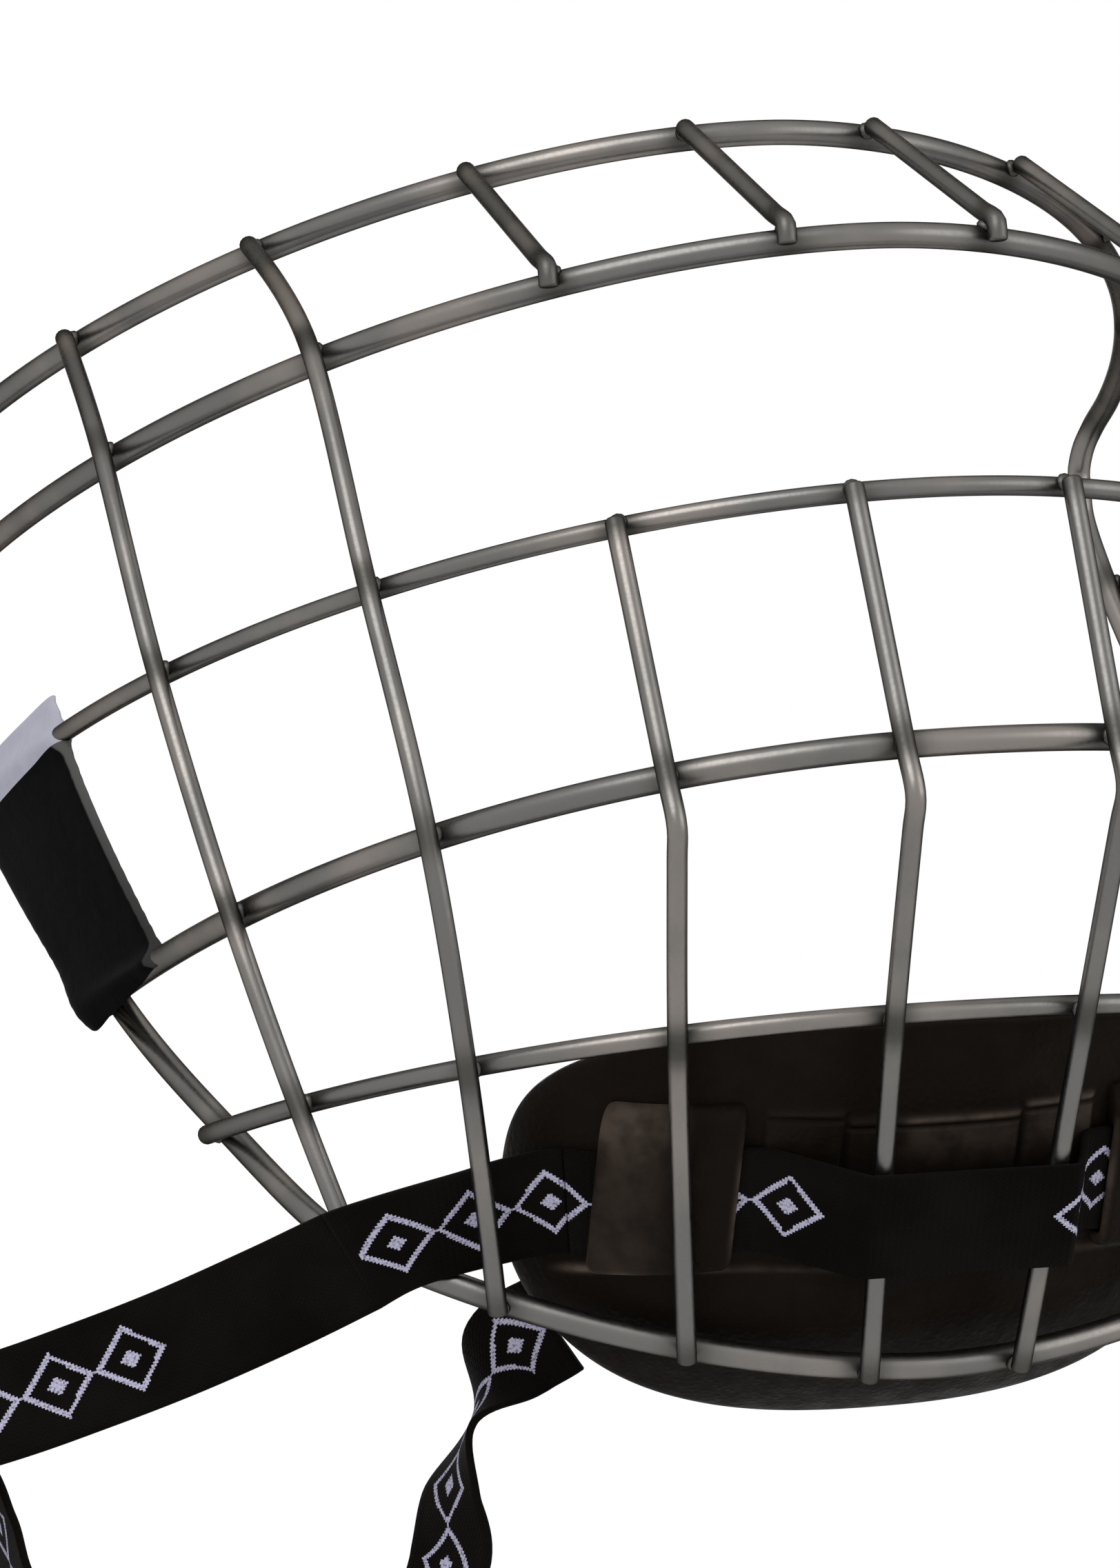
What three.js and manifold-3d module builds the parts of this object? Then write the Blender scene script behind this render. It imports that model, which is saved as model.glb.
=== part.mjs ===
import * as THREE from 'three';
import Module from 'manifold-3d';
import { mergeVertices } from 'three/addons/utils/BufferGeometryUtils.js';

// Hockey face cage: a welded wire mask with its chin cup and side harness loops.
// Millimetres, +Z up, +X to the wearer's left; the face of the mask looks to -Y.
// The origin is on the centre line of the top bar, in the plane of symmetry.

const wasm = await Module();
wasm.setup();

// Wire stock and weld clearance
const heavyWire = 4.0;
const lightWire = 3.0;
const weldGap = 0.3;
const wireSides = 8;
const barSteps = 30;
const longSteps = 24;
const shortSteps = 13;
const templeSteps = 12;

// Cross bars. Each bends round the face as half a superellipse of the given half width and depth.
// forward and drop place its middle in front of and below the top bar. slopeShare is the rise per
// millimetre towards the rear, squareShare the exponent of the superellipse. spreadShares are the
// places of the uprights from the middle outwards, as shares of the half width.
const topBar = {
  wire: heavyWire, halfWidth: 106.7, depth: 156.2, forward: 0, drop: 0,
  slopeShare: -0.196, squareShare: 1.85, spreadShares: [0.135, 0.410, 0.659, 0.852],
};
const browBar = {
  wire: heavyWire, halfWidth: 109.0, depth: 167.8, forward: 43.7, drop: 24.8,
  slopeShare: -0.166, squareShare: 1.88, spreadShares: [0.143, 0.421, 0.674, 0.872],
};
const eyeBar = {
  wire: lightWire, halfWidth: 107.5, depth: 161.9, forward: 63.4, drop: 65.5,
  slopeShare: -0.134, squareShare: 2.0, spreadShares: [0.150, 0.432, 0.692, 0.887],
};
const noseBar = {
  wire: heavyWire, halfWidth: 101.2, depth: 162.8, forward: 72.5, drop: 103.4,
  slopeShare: -0.153, squareShare: 2.22, spreadShares: [0.154, 0.451, 0.710, 0.893],
};
const mouthBar = {
  wire: lightWire, halfWidth: 97.0, depth: 127.0, forward: 56.3, drop: 140.6,
  slopeShare: -0.080, squareShare: 2.25, spreadShares: [0.149, 0.446, 0.697, 0.873],
};
const chinBar = {
  wire: heavyWire, halfWidth: 112.3, depth: 66.7, forward: 26.6, drop: 190.7,
  slopeShare: 0.996, squareShare: 1.79, spreadShares: [0.102, 0.329, 0.550, 0.715],
};

// Angles round each bar, in degrees from the middle, where the bar ends or the side wire crosses
// behind it. Past 90 degrees a bar runs straight on.
const topEndDegrees = 80;
const browLapDegrees = 92.7;
const eyeLapDegrees = 92.0;
const noseLapDegrees = 83.0;
const mouthLapDegrees = 73.5;
const chinEndDegrees = 44.5;
const jawCornerDegrees = 50.0;
const lapOverhang = 1.0;
const buttGap = 0.4;

// Temple bend of the top bar, from its last round point to the butt weld with the side wire
const templeReach = 7.4;
const templeDrop = 10.0;
const templeStraight = 3.5;

// Ends and bends of the uprights
const endOverhang = 0.4;
const topLeanShare = 0.75;
const browElbow = 1.9;
const browFoot = 1.0;
const noseBendDrop = 8.0;

// Chin cup. It lies behind the two middle uprights and leans with them: its own axes run across,
// up along those uprights and inwards. The rim is a superellipse, squarer at the top. The bowl is
// deepest at the sides and its lower part curls in under the chin. It hangs a little towards the
// wearer's right.
const cupShift = -3.5;
const cupWidthShare = 0.512;
const cupHalfWidth = chinBar.halfWidth * cupWidthShare;
const cupHalfHeight = 35.0;
const cupCentreDrop = 10.0;
const cupTopShare = 3.0;
const cupRimShare = 2.4;
const cupGap = 0.9;
const cupLevelShare = 0.5;
const cupWall = 2.6;
const bowlWidthShare = 1.0435;
const bowlHalfWidth = cupHalfWidth * bowlWidthShare;
const bowlDepth = 42.0;
const bowlShare = 2.3;
const chinCurlStart = 14.0;
const chinCurlHeight = 35.0;
const chinCurlDepth = 23.0;
const cupRings = 8;
const cupSpokes = 36;
const padThickness = 8.0;
const padRimShare = 0.86;
const padGap = 0.7;
const padRings = 7;
const padSpokes = 28;

// Harness webbing, and the two raised loops of the cup that it threads through
const strapWidth = 16.5;
const strapThickness = 1.4;
const strapDrop = 2.5;
const strapDroop = 4.5;
const strapGap = 0.35;
const loopInnerShare = 0.4696;
const loopOuterShare = 0.8087;
const loopInner = cupHalfWidth * loopInnerShare;
const loopOuter = cupHalfWidth * loopOuterShare;
const loopMargin = 5.8;
const loopRoof = 1.2;
const loopChamfer = 1.4;
const loopSink = 1.3;
const tunnelSide = 0.6;
const tunnelSink = 0.2;
const tunnelOverrun = 3.0;
const loopCells = 6;
const slotRun = 2.2;
const tunnelExit = 3.0;

// Route of each side harness, from the cup's raised loop behind the cheek upright, across the jaw
// corner of the frame, out to the snap tab and back to the rim of the cup. The free loop is written
// as shares of its reach, its run to the rear and its fall, counted from the jaw corner.
const cheekPass = 3.6;
const cheekPassDrop = 12.5;
const jawPass = 2.8;
const jawDrop = 2.6;
const loopReach = 88.0;
const loopRun = 46.0;
const loopFall = 68.0;
const tabShares = [1, 1, 0.385];
const legShares = [0.516, 0.739, 0.250];
const upperRunShares = [
  [0, 0, 0], [0.100, 0.217, 0.062], [0.248, 0.500, 0.143], [0.384, 0.641, 0.201], [0.516, 0.739, 0.250],
];
const lowerRunShares = [
  [0.702, 0.978, 0.309], [0.611, 1.011, 0.304], [0.538, 1.011, 0.371], [0.503, 0.978, 0.503],
  [0.481, 0.935, 0.635], [0.384, 0.891, 0.826], [0.236, 0.826, 0.974], [0.043, 0.717, 1.003],
  [-0.116, 0.630, 0.885], [-0.219, 0.564, 0.669], [-0.233, 0.562, 0.511], [-0.276, 0.542, 0.365],
  [-0.338, 0.458, 0.214], [-0.399, 0.349, 0.161],
];
const lowerTwistShares = [
  [0, 0.6, 0.7], [0, 1, 0.1], [0, 1, 0], [0, 1, 0], [0, 1, 0], [0, 1, 0], [0.05, 1, 0], [0.1, 1, 0],
  [0.3, 0.93, 0.1], [0.5, 0.85, -0.1], [0.2, 0.95, 0], [-0.3, 0.95, 0], [0.45, 0.35, 0.8],
  [0.45, -0.1, 0.88],
];
const jawTurnPoints = 4;
const legLength = 19.0;
const legCells = 4;
const turnCells = 8;
const runCells = 18;
const returnCells = 40;
const rootCells = 12;
const rootEase = 3.0;
const strapJoinGap = 0.3;

// Snap tab, its metal socket, and the keeper round both runs of webbing
const tabLength = 29.0;
const tabWidth = 23.0;
const tabThickness = 2.4;
const tabCorner = 5.0;
const tabBar = 2.4;
const tabSlot = 3.2;
const turnGap = 0.4;
const socketInset = 11.0;
const socketBore = 3.6;
const socketNeck = 4.8;
const socketFlange = 6.8;
const socketLip = 0.7;
const socketGap = 0.3;
const keeperLength = 7.0;
const keeperWall = 1.6;
const keeperGap = 0.5;
const keeperInset = 6.5;
const roundSegments = 20;

// Vinyl sleeve that wraps the side wire and the ends of the eye bar and the nose bar
const sleeveWall = 0.6;
const sleeveRoom = 1.0;
const sleeveFold = 0.7;
const sleeveFlatShare = 0.55;
const sleeveEyeLength = 45.5;
const sleeveNoseLength = 32.0;
const sleeveTopRise = 8.0;
const sleeveFootDrop = 6.0;
const sleeveToeDrop = 1.6;
const sleeveRingShares = [1 / 3, 2 / 3];
const routeSteps = 240;

const steel = new THREE.MeshStandardMaterial({ color: 0x85837c, roughness: 0.34, metalness: 0.85 });
const cupPlastic = new THREE.MeshStandardMaterial({ color: 0x17130f, roughness: 0.5, metalness: 0 });
const foam = new THREE.MeshStandardMaterial({ color: 0x22201e, roughness: 0.9, metalness: 0 });
const webbing = new THREE.MeshStandardMaterial({ color: 0x0d0b0a, roughness: 0.85, metalness: 0 });
const vinyl = new THREE.MeshStandardMaterial({ color: 0x100e0e, roughness: 0.4, metalness: 0 });
const tabPlastic = new THREE.MeshStandardMaterial({ color: 0x1a1a1a, roughness: 0.45, metalness: 0 });
const nickel = new THREE.MeshStandardMaterial({ color: 0xb5b2aa, roughness: 0.3, metalness: 0.95 });

const cage = new THREE.Group();
const acrossAxis = new THREE.Vector3(1, 0, 0);
const up = new THREE.Vector3(0, 0, 1);
const down = new THREE.Vector3(0, 0, -1);
const tangentShare = 0.002;

function degrees(value) {
  return value * Math.PI / 180;
}

function signedPower(value, exponent) {
  return Math.sign(value) * Math.abs(value) ** exponent;
}

// Centre line of a bar at an angle from its middle; side +1 is the wearer's left
function barPoint(bar, angle) {
  const bent = Math.min(Math.abs(angle), Math.PI / 2);
  const tail = Math.abs(angle) - bent;
  const exponent = 2 / bar.squareShare;
  const x = bar.halfWidth * signedPower(Math.sin(bent), exponent) * Math.sign(angle || 1);
  const back = bar.depth * (1 - signedPower(Math.cos(bent), exponent) + tail);
  return new THREE.Vector3(x, back - bar.forward, bar.slopeShare * back - bar.drop);
}

function angleAtShare(bar, share) {
  return Math.asin(share ** (bar.squareShare / 2));
}

function barTangent(bar, angle) {
  return barPoint(bar, angle + tangentShare).sub(barPoint(bar, angle - tangentShare)).normalize();
}

// Angle whose point lies the given length further round the bar
function angleForLength(bar, angle, length) {
  const speed = barPoint(bar, angle + tangentShare).distanceTo(barPoint(bar, angle)) / tangentShare;
  return length / speed;
}

// Direction out of the cage at a bar point, square to the bar and to the wire that crosses it
function outward(bar, angle, along) {
  const normal = barTangent(bar, angle).cross(along).normalize();
  const point = barPoint(bar, angle);
  const outside = normal.x * point.x - normal.y * bar.halfWidth;
  return outside < 0 ? normal.negate() : normal;
}

function wireGeometry(points, diameter, steps) {
  const section = new THREE.Shape();
  for (let i = 0; i < wireSides; i += 1) {
    const turn = 2 * Math.PI * i / wireSides;
    const x = diameter / 2 * Math.cos(turn);
    const y = diameter / 2 * Math.sin(turn);
    if (i === 0) section.moveTo(x, y);
    else section.lineTo(x, y);
  }
  section.closePath();
  const path = new THREE.CatmullRomCurve3(points, false, 'centripetal');
  return new THREE.ExtrudeGeometry(section, { steps, extrudePath: path });
}

function addMesh(name, geometry, material) {
  const mesh = new THREE.Mesh(geometry, material);
  mesh.name = name;
  cage.add(mesh);
}

// Every wire keeps its route here, so that soft pieces can be cut clear of it
const wires = {};

function addWire(name, points, diameter, steps) {
  wires[name] = { points, diameter, steps };
  addMesh(name, wireGeometry(points, diameter, steps), steel);
}

function wireClearance(name, gap) {
  const { points, diameter, steps } = wires[name];
  return toSolid(wireGeometry(points, diameter + 2 * gap, steps));
}

// Cross bars
function barRoute(bar, endAngle) {
  const points = [];
  for (let i = 0; i <= barSteps; i += 1) {
    points.push(barPoint(bar, endAngle * (2 * i / barSteps - 1)));
  }
  return points;
}

function templeEnd(side) {
  const last = barPoint(topBar, side * degrees(topEndDegrees));
  const heel = last.clone().add(new THREE.Vector3(0, templeReach, -templeDrop + templeStraight));
  return { heel, foot: heel.clone().addScaledVector(down, templeStraight) };
}

function addTopBar() {
  const left = templeEnd(1);
  const right = templeEnd(-1);
  const kneeShare = 0.62;
  const kneeDropShare = 0.28;
  const knee = new THREE.Vector3(0, templeReach * kneeShare, -templeDrop * kneeDropShare);
  const arc = barRoute(topBar, degrees(topEndDegrees));
  const route = [
    right.foot, right.heel, arc[0].clone().add(knee), ...arc,
    arc[arc.length - 1].clone().add(knee), left.heel, left.foot,
  ];
  addWire('top_bar', route, topBar.wire, barSteps + templeSteps);
}

function addBar(name, bar, endDegrees, overhang) {
  const angle = degrees(endDegrees);
  const end = angle + angleForLength(bar, angle, overhang);
  addWire(name, barRoute(bar, end), bar.wire, barSteps);
}

addTopBar();
addBar('brow_bar', browBar, browLapDegrees, lapOverhang);
addBar('eye_bar', eyeBar, eyeLapDegrees, lapOverhang);
addBar('nose_bar', noseBar, noseLapDegrees, lapOverhang);
addBar('mouth_bar', mouthBar, mouthLapDegrees, lapOverhang);
addBar('chin_bar', chinBar, chinEndDegrees, 0);

// Side wires: from the temple down inside the rear ends of the bars to the jaw corner
function lapPoint(bar, lapDegrees, side, along) {
  const angle = side * degrees(lapDegrees);
  const offset = (heavyWire + bar.wire) / 2 + weldGap;
  return barPoint(bar, angle).addScaledVector(outward(bar, angle, along), -offset);
}

function sideRoute(side) {
  const temple = templeEnd(side).foot.addScaledVector(down, buttGap);
  const jaw = degrees(chinEndDegrees);
  const start = jaw + angleForLength(chinBar, jaw, buttGap);
  const slant = barPoint(noseBar, side * degrees(noseLapDegrees))
    .sub(barPoint(eyeBar, side * degrees(eyeLapDegrees))).normalize();
  const corner = degrees(jawCornerDegrees);
  return [
    temple,
    temple.clone().addScaledVector(down, templeStraight),
    lapPoint(browBar, browLapDegrees, side, slant),
    lapPoint(eyeBar, eyeLapDegrees, side, slant),
    lapPoint(noseBar, noseLapDegrees, side, slant),
    lapPoint(mouthBar, mouthLapDegrees, side, slant),
    barPoint(chinBar, side * corner),
    barPoint(chinBar, side * (start + corner) / 2),
    barPoint(chinBar, side * start),
  ];
}

const sides = [['left', 1], ['right', -1]];
for (const [name, side] of sides) {
  addWire(`${name}_side_wire`, sideRoute(side), heavyWire, longSteps);
}

// Uprights cross the outside of the bars, and their upper ends lean on the front of the top bar
function crossing(bar, index, side, along) {
  const angle = side * angleAtShare(bar, bar.spreadShares[index]);
  const offset = (bar.wire + lightWire) / 2 + weldGap;
  return barPoint(bar, angle).addScaledVector(outward(bar, angle, along), offset);
}

function crossings(bars, index, side) {
  const centres = bars.map((bar) => barPoint(bar, side * angleAtShare(bar, bar.spreadShares[index])));
  return bars.map((bar, i) => {
    const before = centres[Math.max(i - 1, 0)];
    const after = centres[Math.min(i + 1, bars.length - 1)];
    const along = after.clone().sub(before).normalize();
    if (bar === topBar) along.lerp(down, topLeanShare).normalize();
    return crossing(bar, index, side, along);
  });
}

// A point past the end of a run of points, on its first or last stretch
function beyond(from, to, length) {
  return to.clone().add(to.clone().sub(from).setLength(length));
}

const longBars = [topBar, browBar, eyeBar, noseBar, mouthBar, chinBar];
const lowBars = [eyeBar, noseBar, mouthBar, chinBar];

function addLongUpright(name, index, side) {
  const hits = crossings(longBars, index, side);
  const points = [beyond(hits[1], hits[0], endOverhang), ...hits];
  points.push(beyond(hits[4], hits[5], endOverhang));
  addWire(name, points, lightWire, longSteps);
}

function addLowUpright(name, index, side) {
  const [eye, nose, mouth, chin] = crossings(lowBars, index, side);
  const bend = beyond(eye, nose, noseBendDrop);
  const straightShare = 0.85;
  const points = [
    eye, nose, bend, bend.clone().lerp(mouth, 1 - straightShare), mouth, chin,
    beyond(mouth, chin, endOverhang),
  ];
  addWire(name, points, lightWire, shortSteps);
}

function addBrowUpright(name, index, side) {
  const [top] = crossings([topBar, browBar], index, side);
  const foot = crossing(browBar, index, side, down);
  const elbow = foot.clone().addScaledVector(up, browElbow);
  const startShare = 0.12;
  const points = [
    beyond(elbow, top, endOverhang), top, top.clone().lerp(elbow, 1 - startShare), elbow, foot,
    foot.clone().addScaledVector(down, browFoot),
  ];
  addWire(name, points, lightWire, shortSteps);
}

for (const [name, side] of sides) {
  addLongUpright(`${name}_outer_upright`, 3, side);
  addLongUpright(`${name}_cheek_upright`, 2, side);
  addBrowUpright(`${name}_brow_upright_outer`, 1, side);
  addBrowUpright(`${name}_brow_upright_inner`, 0, side);
  addLowUpright(`${name}_lower_upright_outer`, 1, side);
  addLowUpright(`${name}_lower_upright_inner`, 0, side);
}

// Closed geometry from a grid of points: rings that each go once round, and a point or nothing at
// either end. Rings run against the clock as seen from the far end.
function tubeGeometry(rings) {
  const count = rings[0].length;
  const positions = rings.flat().flatMap((point) => point.toArray());
  const index = [];
  for (let i = 0; i + 1 < rings.length; i += 1) {
    for (let j = 0; j < count; j += 1) {
      const next = (j + 1) % count;
      const a = i * count + j;
      const b = i * count + next;
      index.push(a, b, a + count, b, b + count, a + count);
    }
  }
  const last = (rings.length - 1) * count;
  for (const [start, flip] of [[0, true], [last, false]]) {
    const middle = positions.length / 3;
    const centre = new THREE.Vector3();
    for (let j = 0; j < count; j += 1) centre.addScaledVector(rings[start / count][j], 1 / count);
    positions.push(...centre.toArray());
    for (let j = 0; j < count; j += 1) {
      const a = start + j;
      const b = start + (j + 1) % count;
      if (flip) index.push(middle, b, a);
      else index.push(middle, a, b);
    }
  }
  const geometry = new THREE.BufferGeometry();
  geometry.setAttribute('position', new THREE.Float32BufferAttribute(positions, 3));
  geometry.setIndex(index);
  return geometry;
}

function isInsideOut(geometry) {
  const position = geometry.attributes.position;
  const index = geometry.index;
  let volume = 0;
  for (let i = 0; i < index.count; i += 3) {
    const [a, b, c] = [0, 1, 2].map((k) => (
      new THREE.Vector3().fromBufferAttribute(position, index.getX(i + k))));
    volume += a.dot(b.cross(c));
  }
  return volume < 0;
}

function facingOut(geometry) {
  if (isInsideOut(geometry)) geometry.setIndex([...geometry.index.array].reverse());
  return geometry;
}

function toSolid(source) {
  const bare = source.clone();
  bare.deleteAttribute('normal');
  bare.deleteAttribute('uv');
  const geometry = mergeVertices(bare);
  return new wasm.Manifold(new wasm.Mesh({
    numProp: 3,
    vertProperties: new Float32Array(geometry.attributes.position.array),
    triVerts: new Uint32Array(geometry.index.array),
  }));
}

function toGeometry(solid) {
  const mesh = solid.getMesh();
  const geometry = new THREE.BufferGeometry();
  geometry.setAttribute('position', new THREE.Float32BufferAttribute(mesh.vertProperties, 3));
  geometry.setIndex([...mesh.triVerts]);
  return geometry;
}

// Axes of the chin cup, from the lower runs of the two middle uprights
const midUpright = crossings(lowBars, 0, 1).map((point) => point.setX(0));
const cupUp = midUpright[2].clone().sub(midUpright[3]).normalize();
const cupIn = cupUp.clone().cross(acrossAxis).normalize();
const cupMiddle = midUpright[3].clone().lerp(midUpright[2], cupLevelShare)
  .addScaledVector(cupIn, lightWire / 2).setX(cupShift);
const cupCrown = weldGap + chinBar.wire + cupGap;

function cupPlace(x, height, depth) {
  return cupMiddle.clone().addScaledVector(acrossAxis, x)
    .addScaledVector(cupUp, height).addScaledVector(cupIn, depth);
}

// Depth of the cup's outer face behind the middle uprights
function cupDepth(x, height) {
  const side = (1 - Math.min(Math.abs(x) / bowlHalfWidth, 1) ** bowlShare) ** (1 / bowlShare);
  const below = Math.min(Math.max(-height - chinCurlStart, 0) / chinCurlHeight, 1);
  const curl = chinCurlDepth * (1 - Math.sqrt(1 - below ** 2));
  return cupCrown + bowlDepth * (1 - side) + curl;
}

// A point over the cup's outer face; a negative lift lies inside the bowl
function cupSurface(x, height, lift) {
  const step = strapThickness * tangentShare;
  const slopeX = (cupDepth(x + step, height) - cupDepth(x - step, height)) / (2 * step);
  const slopeUp = (cupDepth(x, height + step) - cupDepth(x, height - step)) / (2 * step);
  const scale = lift / Math.hypot(1, slopeX, slopeUp);
  return cupPlace(x + slopeX * scale, height + slopeUp * scale, cupDepth(x, height) - scale);
}

function rimPlace(turn, share) {
  const exponent = 2 / (Math.sin(turn) > 0 ? cupTopShare : cupRimShare);
  const x = cupHalfWidth * share * signedPower(Math.cos(turn), exponent);
  const height = cupHalfHeight * share * signedPower(Math.sin(turn), exponent);
  return [x, height - cupCentreDrop];
}

// Rings from the middle of one face out to the rim and back to the middle of the other face
function bowlGeometry(rings, spokes, rimShare, outerLift, innerLift) {
  const layers = [];
  const start = 1 / (2 * rings);
  const shares = [];
  for (let i = 0; i <= rings; i += 1) shares.push(start + (1 - start) * i / rings);
  const ring = (share, lift) => {
    const points = [];
    for (let j = 0; j < spokes; j += 1) {
      const [x, height] = rimPlace(2 * Math.PI * j / spokes, share * rimShare);
      points.push(cupSurface(x, height, lift(share)));
    }
    return points;
  };
  for (const share of shares) layers.push(ring(share, outerLift));
  for (const share of shares.reverse()) layers.push(ring(share, innerLift));
  return facingOut(tubeGeometry(layers));
}

// Height of the webbing's middle on the cup: level in front, drooping through the raised loops
function strapHeight(x) {
  const share = (Math.abs(x) - loopInner) / (loopOuter - loopInner);
  return -strapDrop - strapDroop * Math.max(share, 0);
}

// Closed patch over the cup's outer face between two lifts, its upper face drawn in by inset
function cupPatch(x0, x1, low, high, liftLow, liftHigh, inset, middle = () => 0) {
  const rings = [];
  const cells = loopCells;
  for (let i = 0; i <= cells; i += 1) {
    const across = i / cells;
    const row = [];
    const taper = (lift) => (lift === liftHigh ? inset : 0);
    for (const lift of [liftLow, liftHigh]) {
      const edge = taper(lift);
      const x = x0 + edge + (x1 - x0 - 2 * edge) * across;
      const span = [low + edge, high - edge];
      const heights = (lift === liftLow ? span : span.reverse()).map((height) => height + middle(x));
      row.push(cupSurface(x, heights[0], lift), cupSurface(x, heights[1], lift));
    }
    rings.push(row);
  }
  return facingOut(tubeGeometry(rings));
}

const strapRise = strapGap + strapThickness / 2;
const tunnelHeight = strapThickness + 2 * strapGap;

function addChinCup() {
  let cup = toSolid(bowlGeometry(cupRings, cupSpokes, 1, () => 0, () => -cupWall));
  const low = -strapDrop - strapWidth / 2;
  const high = -strapDrop + strapWidth / 2;
  for (const [, side] of sides) {
    const [x0, x1] = side > 0 ? [loopInner, loopOuter] : [-loopOuter, -loopInner];
    const top = tunnelHeight + loopRoof;
    cup = cup.add(toSolid(
      cupPatch(x0, x1, low - loopMargin, high + loopMargin, -loopSink, top, loopChamfer)));
  }
  for (const [, side] of sides) {
    const [x0, x1] = side > 0 ? [loopInner, loopOuter] : [-loopOuter, -loopInner];
    cup = cup.subtract(toSolid(cupPatch(
      x0 - tunnelOverrun, x1 + tunnelOverrun, -strapWidth / 2 - tunnelSide, strapWidth / 2 + tunnelSide,
      -tunnelSink, tunnelHeight, 0, strapHeight)));
  }
  addMesh('chin_cup', toGeometry(cup), cupPlastic);
}

function addChinPad() {
  const back = -cupWall - padGap;
  const edgeShare = 0.3;
  const crown = (share) => back - padThickness * (edgeShare + (1 - edgeShare) * Math.sqrt(1 - share ** 4));
  addMesh('chin_pad', bowlGeometry(padRings, padSpokes, padRimShare, () => back, crown), foam);
}

addChinCup();
addChinPad();

// Flat webbing along stations, each a point with the direction across the band
function strapGeometry(stations) {
  const rings = stations.map(({ point, across }, i) => {
    const before = stations[Math.max(i - 1, 0)].point;
    const after = stations[Math.min(i + 1, stations.length - 1)].point;
    const along = stations[i].along ?? after.clone().sub(before).normalize();
    const wide = across.clone().addScaledVector(along, -across.dot(along));
    const thick = along.clone().cross(wide).setLength(strapThickness / 2);
    wide.setLength(strapWidth / 2);
    return [[1, 1], [-1, 1], [-1, -1], [1, -1]].map(([w, t]) => (
      point.clone().addScaledVector(wide, w).addScaledVector(thick, t)));
  });
  return facingOut(tubeGeometry(rings));
}

function strapStations(points, acrosses, cells) {
  const path = new THREE.CatmullRomCurve3(points, false, 'centripetal');
  const twist = new THREE.CatmullRomCurve3(acrosses);
  const stations = [];
  for (let i = 0; i <= cells; i += 1) {
    stations.push({ point: path.getPoint(i / cells), across: twist.getPoint(i / cells) });
  }
  return stations;
}

function overCup(x) {
  return cupSurface(x, strapHeight(x), strapRise);
}

const exitAt = loopOuter + tunnelExit;

function exitDirection(side) {
  return overCup(side * exitAt).sub(overCup(side * loopOuter)).normalize();
}

// Front run: through both raised loops and over the two middle uprights
function addFrontStrap() {
  const front = -lightWire - weldGap - strapThickness / 2;
  const edge = Math.abs(midUprightEdge()) + strapRise;
  const half = (side) => {
    const points = [];
    for (let i = 0; i <= loopCells; i += 1) {
      const x = exitAt + (loopInner - slotRun - exitAt) * i / loopCells;
      points.push(overCup(side * x));
    }
    points.push(cupPlace(side * edge - cupShift, -strapDrop, front));
    return points;
  };
  const points = [...half(-1), ...half(1).reverse()];
  const stations = points.map((point) => ({ point, across: cupUp }));
  stations[0].along = exitDirection(-1).negate();
  stations[stations.length - 1].along = exitDirection(1);
  addMesh('front_strap', strapGeometry(stations), webbing);
}

// Distance of a middle uprights' outer side from the plane of symmetry, at the front strap
function midUprightEdge() {
  const [, , mouth, chin] = crossings(lowBars, 0, 1);
  return mouth.clone().lerp(chin, cupLevelShare).x + lightWire / 2;
}

addFrontStrap();

// Jaw corner: where the webbing crosses outside the end of the outer upright
function jawCorner(side) {
  const [, mouth, chin] = crossings([noseBar, mouthBar, chinBar], 3, side);
  const foot = beyond(mouth, chin, endOverhang + jawDrop);
  const angle = side * angleAtShare(chinBar, chinBar.spreadShares[3]);
  const out = outward(chinBar, angle, foot.clone().sub(mouth).normalize());
  return foot.addScaledVector(out, lightWire / 2 + jawPass);
}

// Direction of the webbing where it leaves the jaw corner
function jawDirection(side) {
  return loopPlace(side, upperRunShares[1]).sub(jawCorner(side)).normalize();
}

// Webbing from the raised loop, inside the cheek upright, to the jaw corner
function addStrapRoot(name, side) {
  const [mouth, chin] = crossings(longBars, 2, side).slice(4);
  const angle = side * angleAtShare(chinBar, chinBar.spreadShares[2]);
  const out = outward(chinBar, angle, chin.clone().sub(mouth).normalize());
  const height = cupPlace(0, -cheekPassDrop, 0);
  const share = mouth.clone().sub(height).dot(cupUp) / mouth.clone().sub(chin).dot(cupUp);
  const cheek = mouth.clone().lerp(chin, share)
    .addScaledVector(out, -(lightWire / 2 + strapRise + cheekPass));
  const along = exitDirection(side);
  const start = overCup(side * exitAt).addScaledVector(along, strapJoinGap);
  const leave = jawDirection(side);
  const end = jawCorner(side).addScaledVector(leave, -strapJoinGap);
  const points = [
    start, start.clone().addScaledVector(along, rootEase), cheek,
    end.clone().addScaledVector(leave, -rootEase), end,
  ];
  const stations = strapStations(points, points.map(() => cupUp), rootCells);
  stations[0].along = along;
  stations[rootCells].along = leave;
  let strap = toSolid(strapGeometry(stations));
  strap = strap.subtract(toSolid(bowlGeometry(cupRings, cupSpokes, 1, () => strapGap, () => -cupWall)));
  for (const wire of ['chin_bar', `${name}_side_wire`, `${name}_outer_upright`, `${name}_cheek_upright`]) {
    strap = strap.subtract(wireClearance(wire, strapGap));
  }
  addMesh(`${name}_strap_root`, toGeometry(strap), webbing);
}

// Point and frame of a side loop, from shares counted from the jaw corner
function loopPlace(side, [outShare, backShare, lowShare]) {
  return jawCorner(side).add(new THREE.Vector3(
    side * outShare * loopReach, backShare * loopRun, -lowShare * loopFall));
}

function tabFrame(side) {
  const centre = loopPlace(side, tabShares);
  const inward = loopPlace(side, legShares).sub(centre).normalize();
  const across = up.clone().addScaledVector(inward, -up.dot(inward)).normalize();
  const face = inward.clone().cross(across);
  if (face.y > 0) face.negate();
  return { centre, inward, across, face };
}

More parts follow.
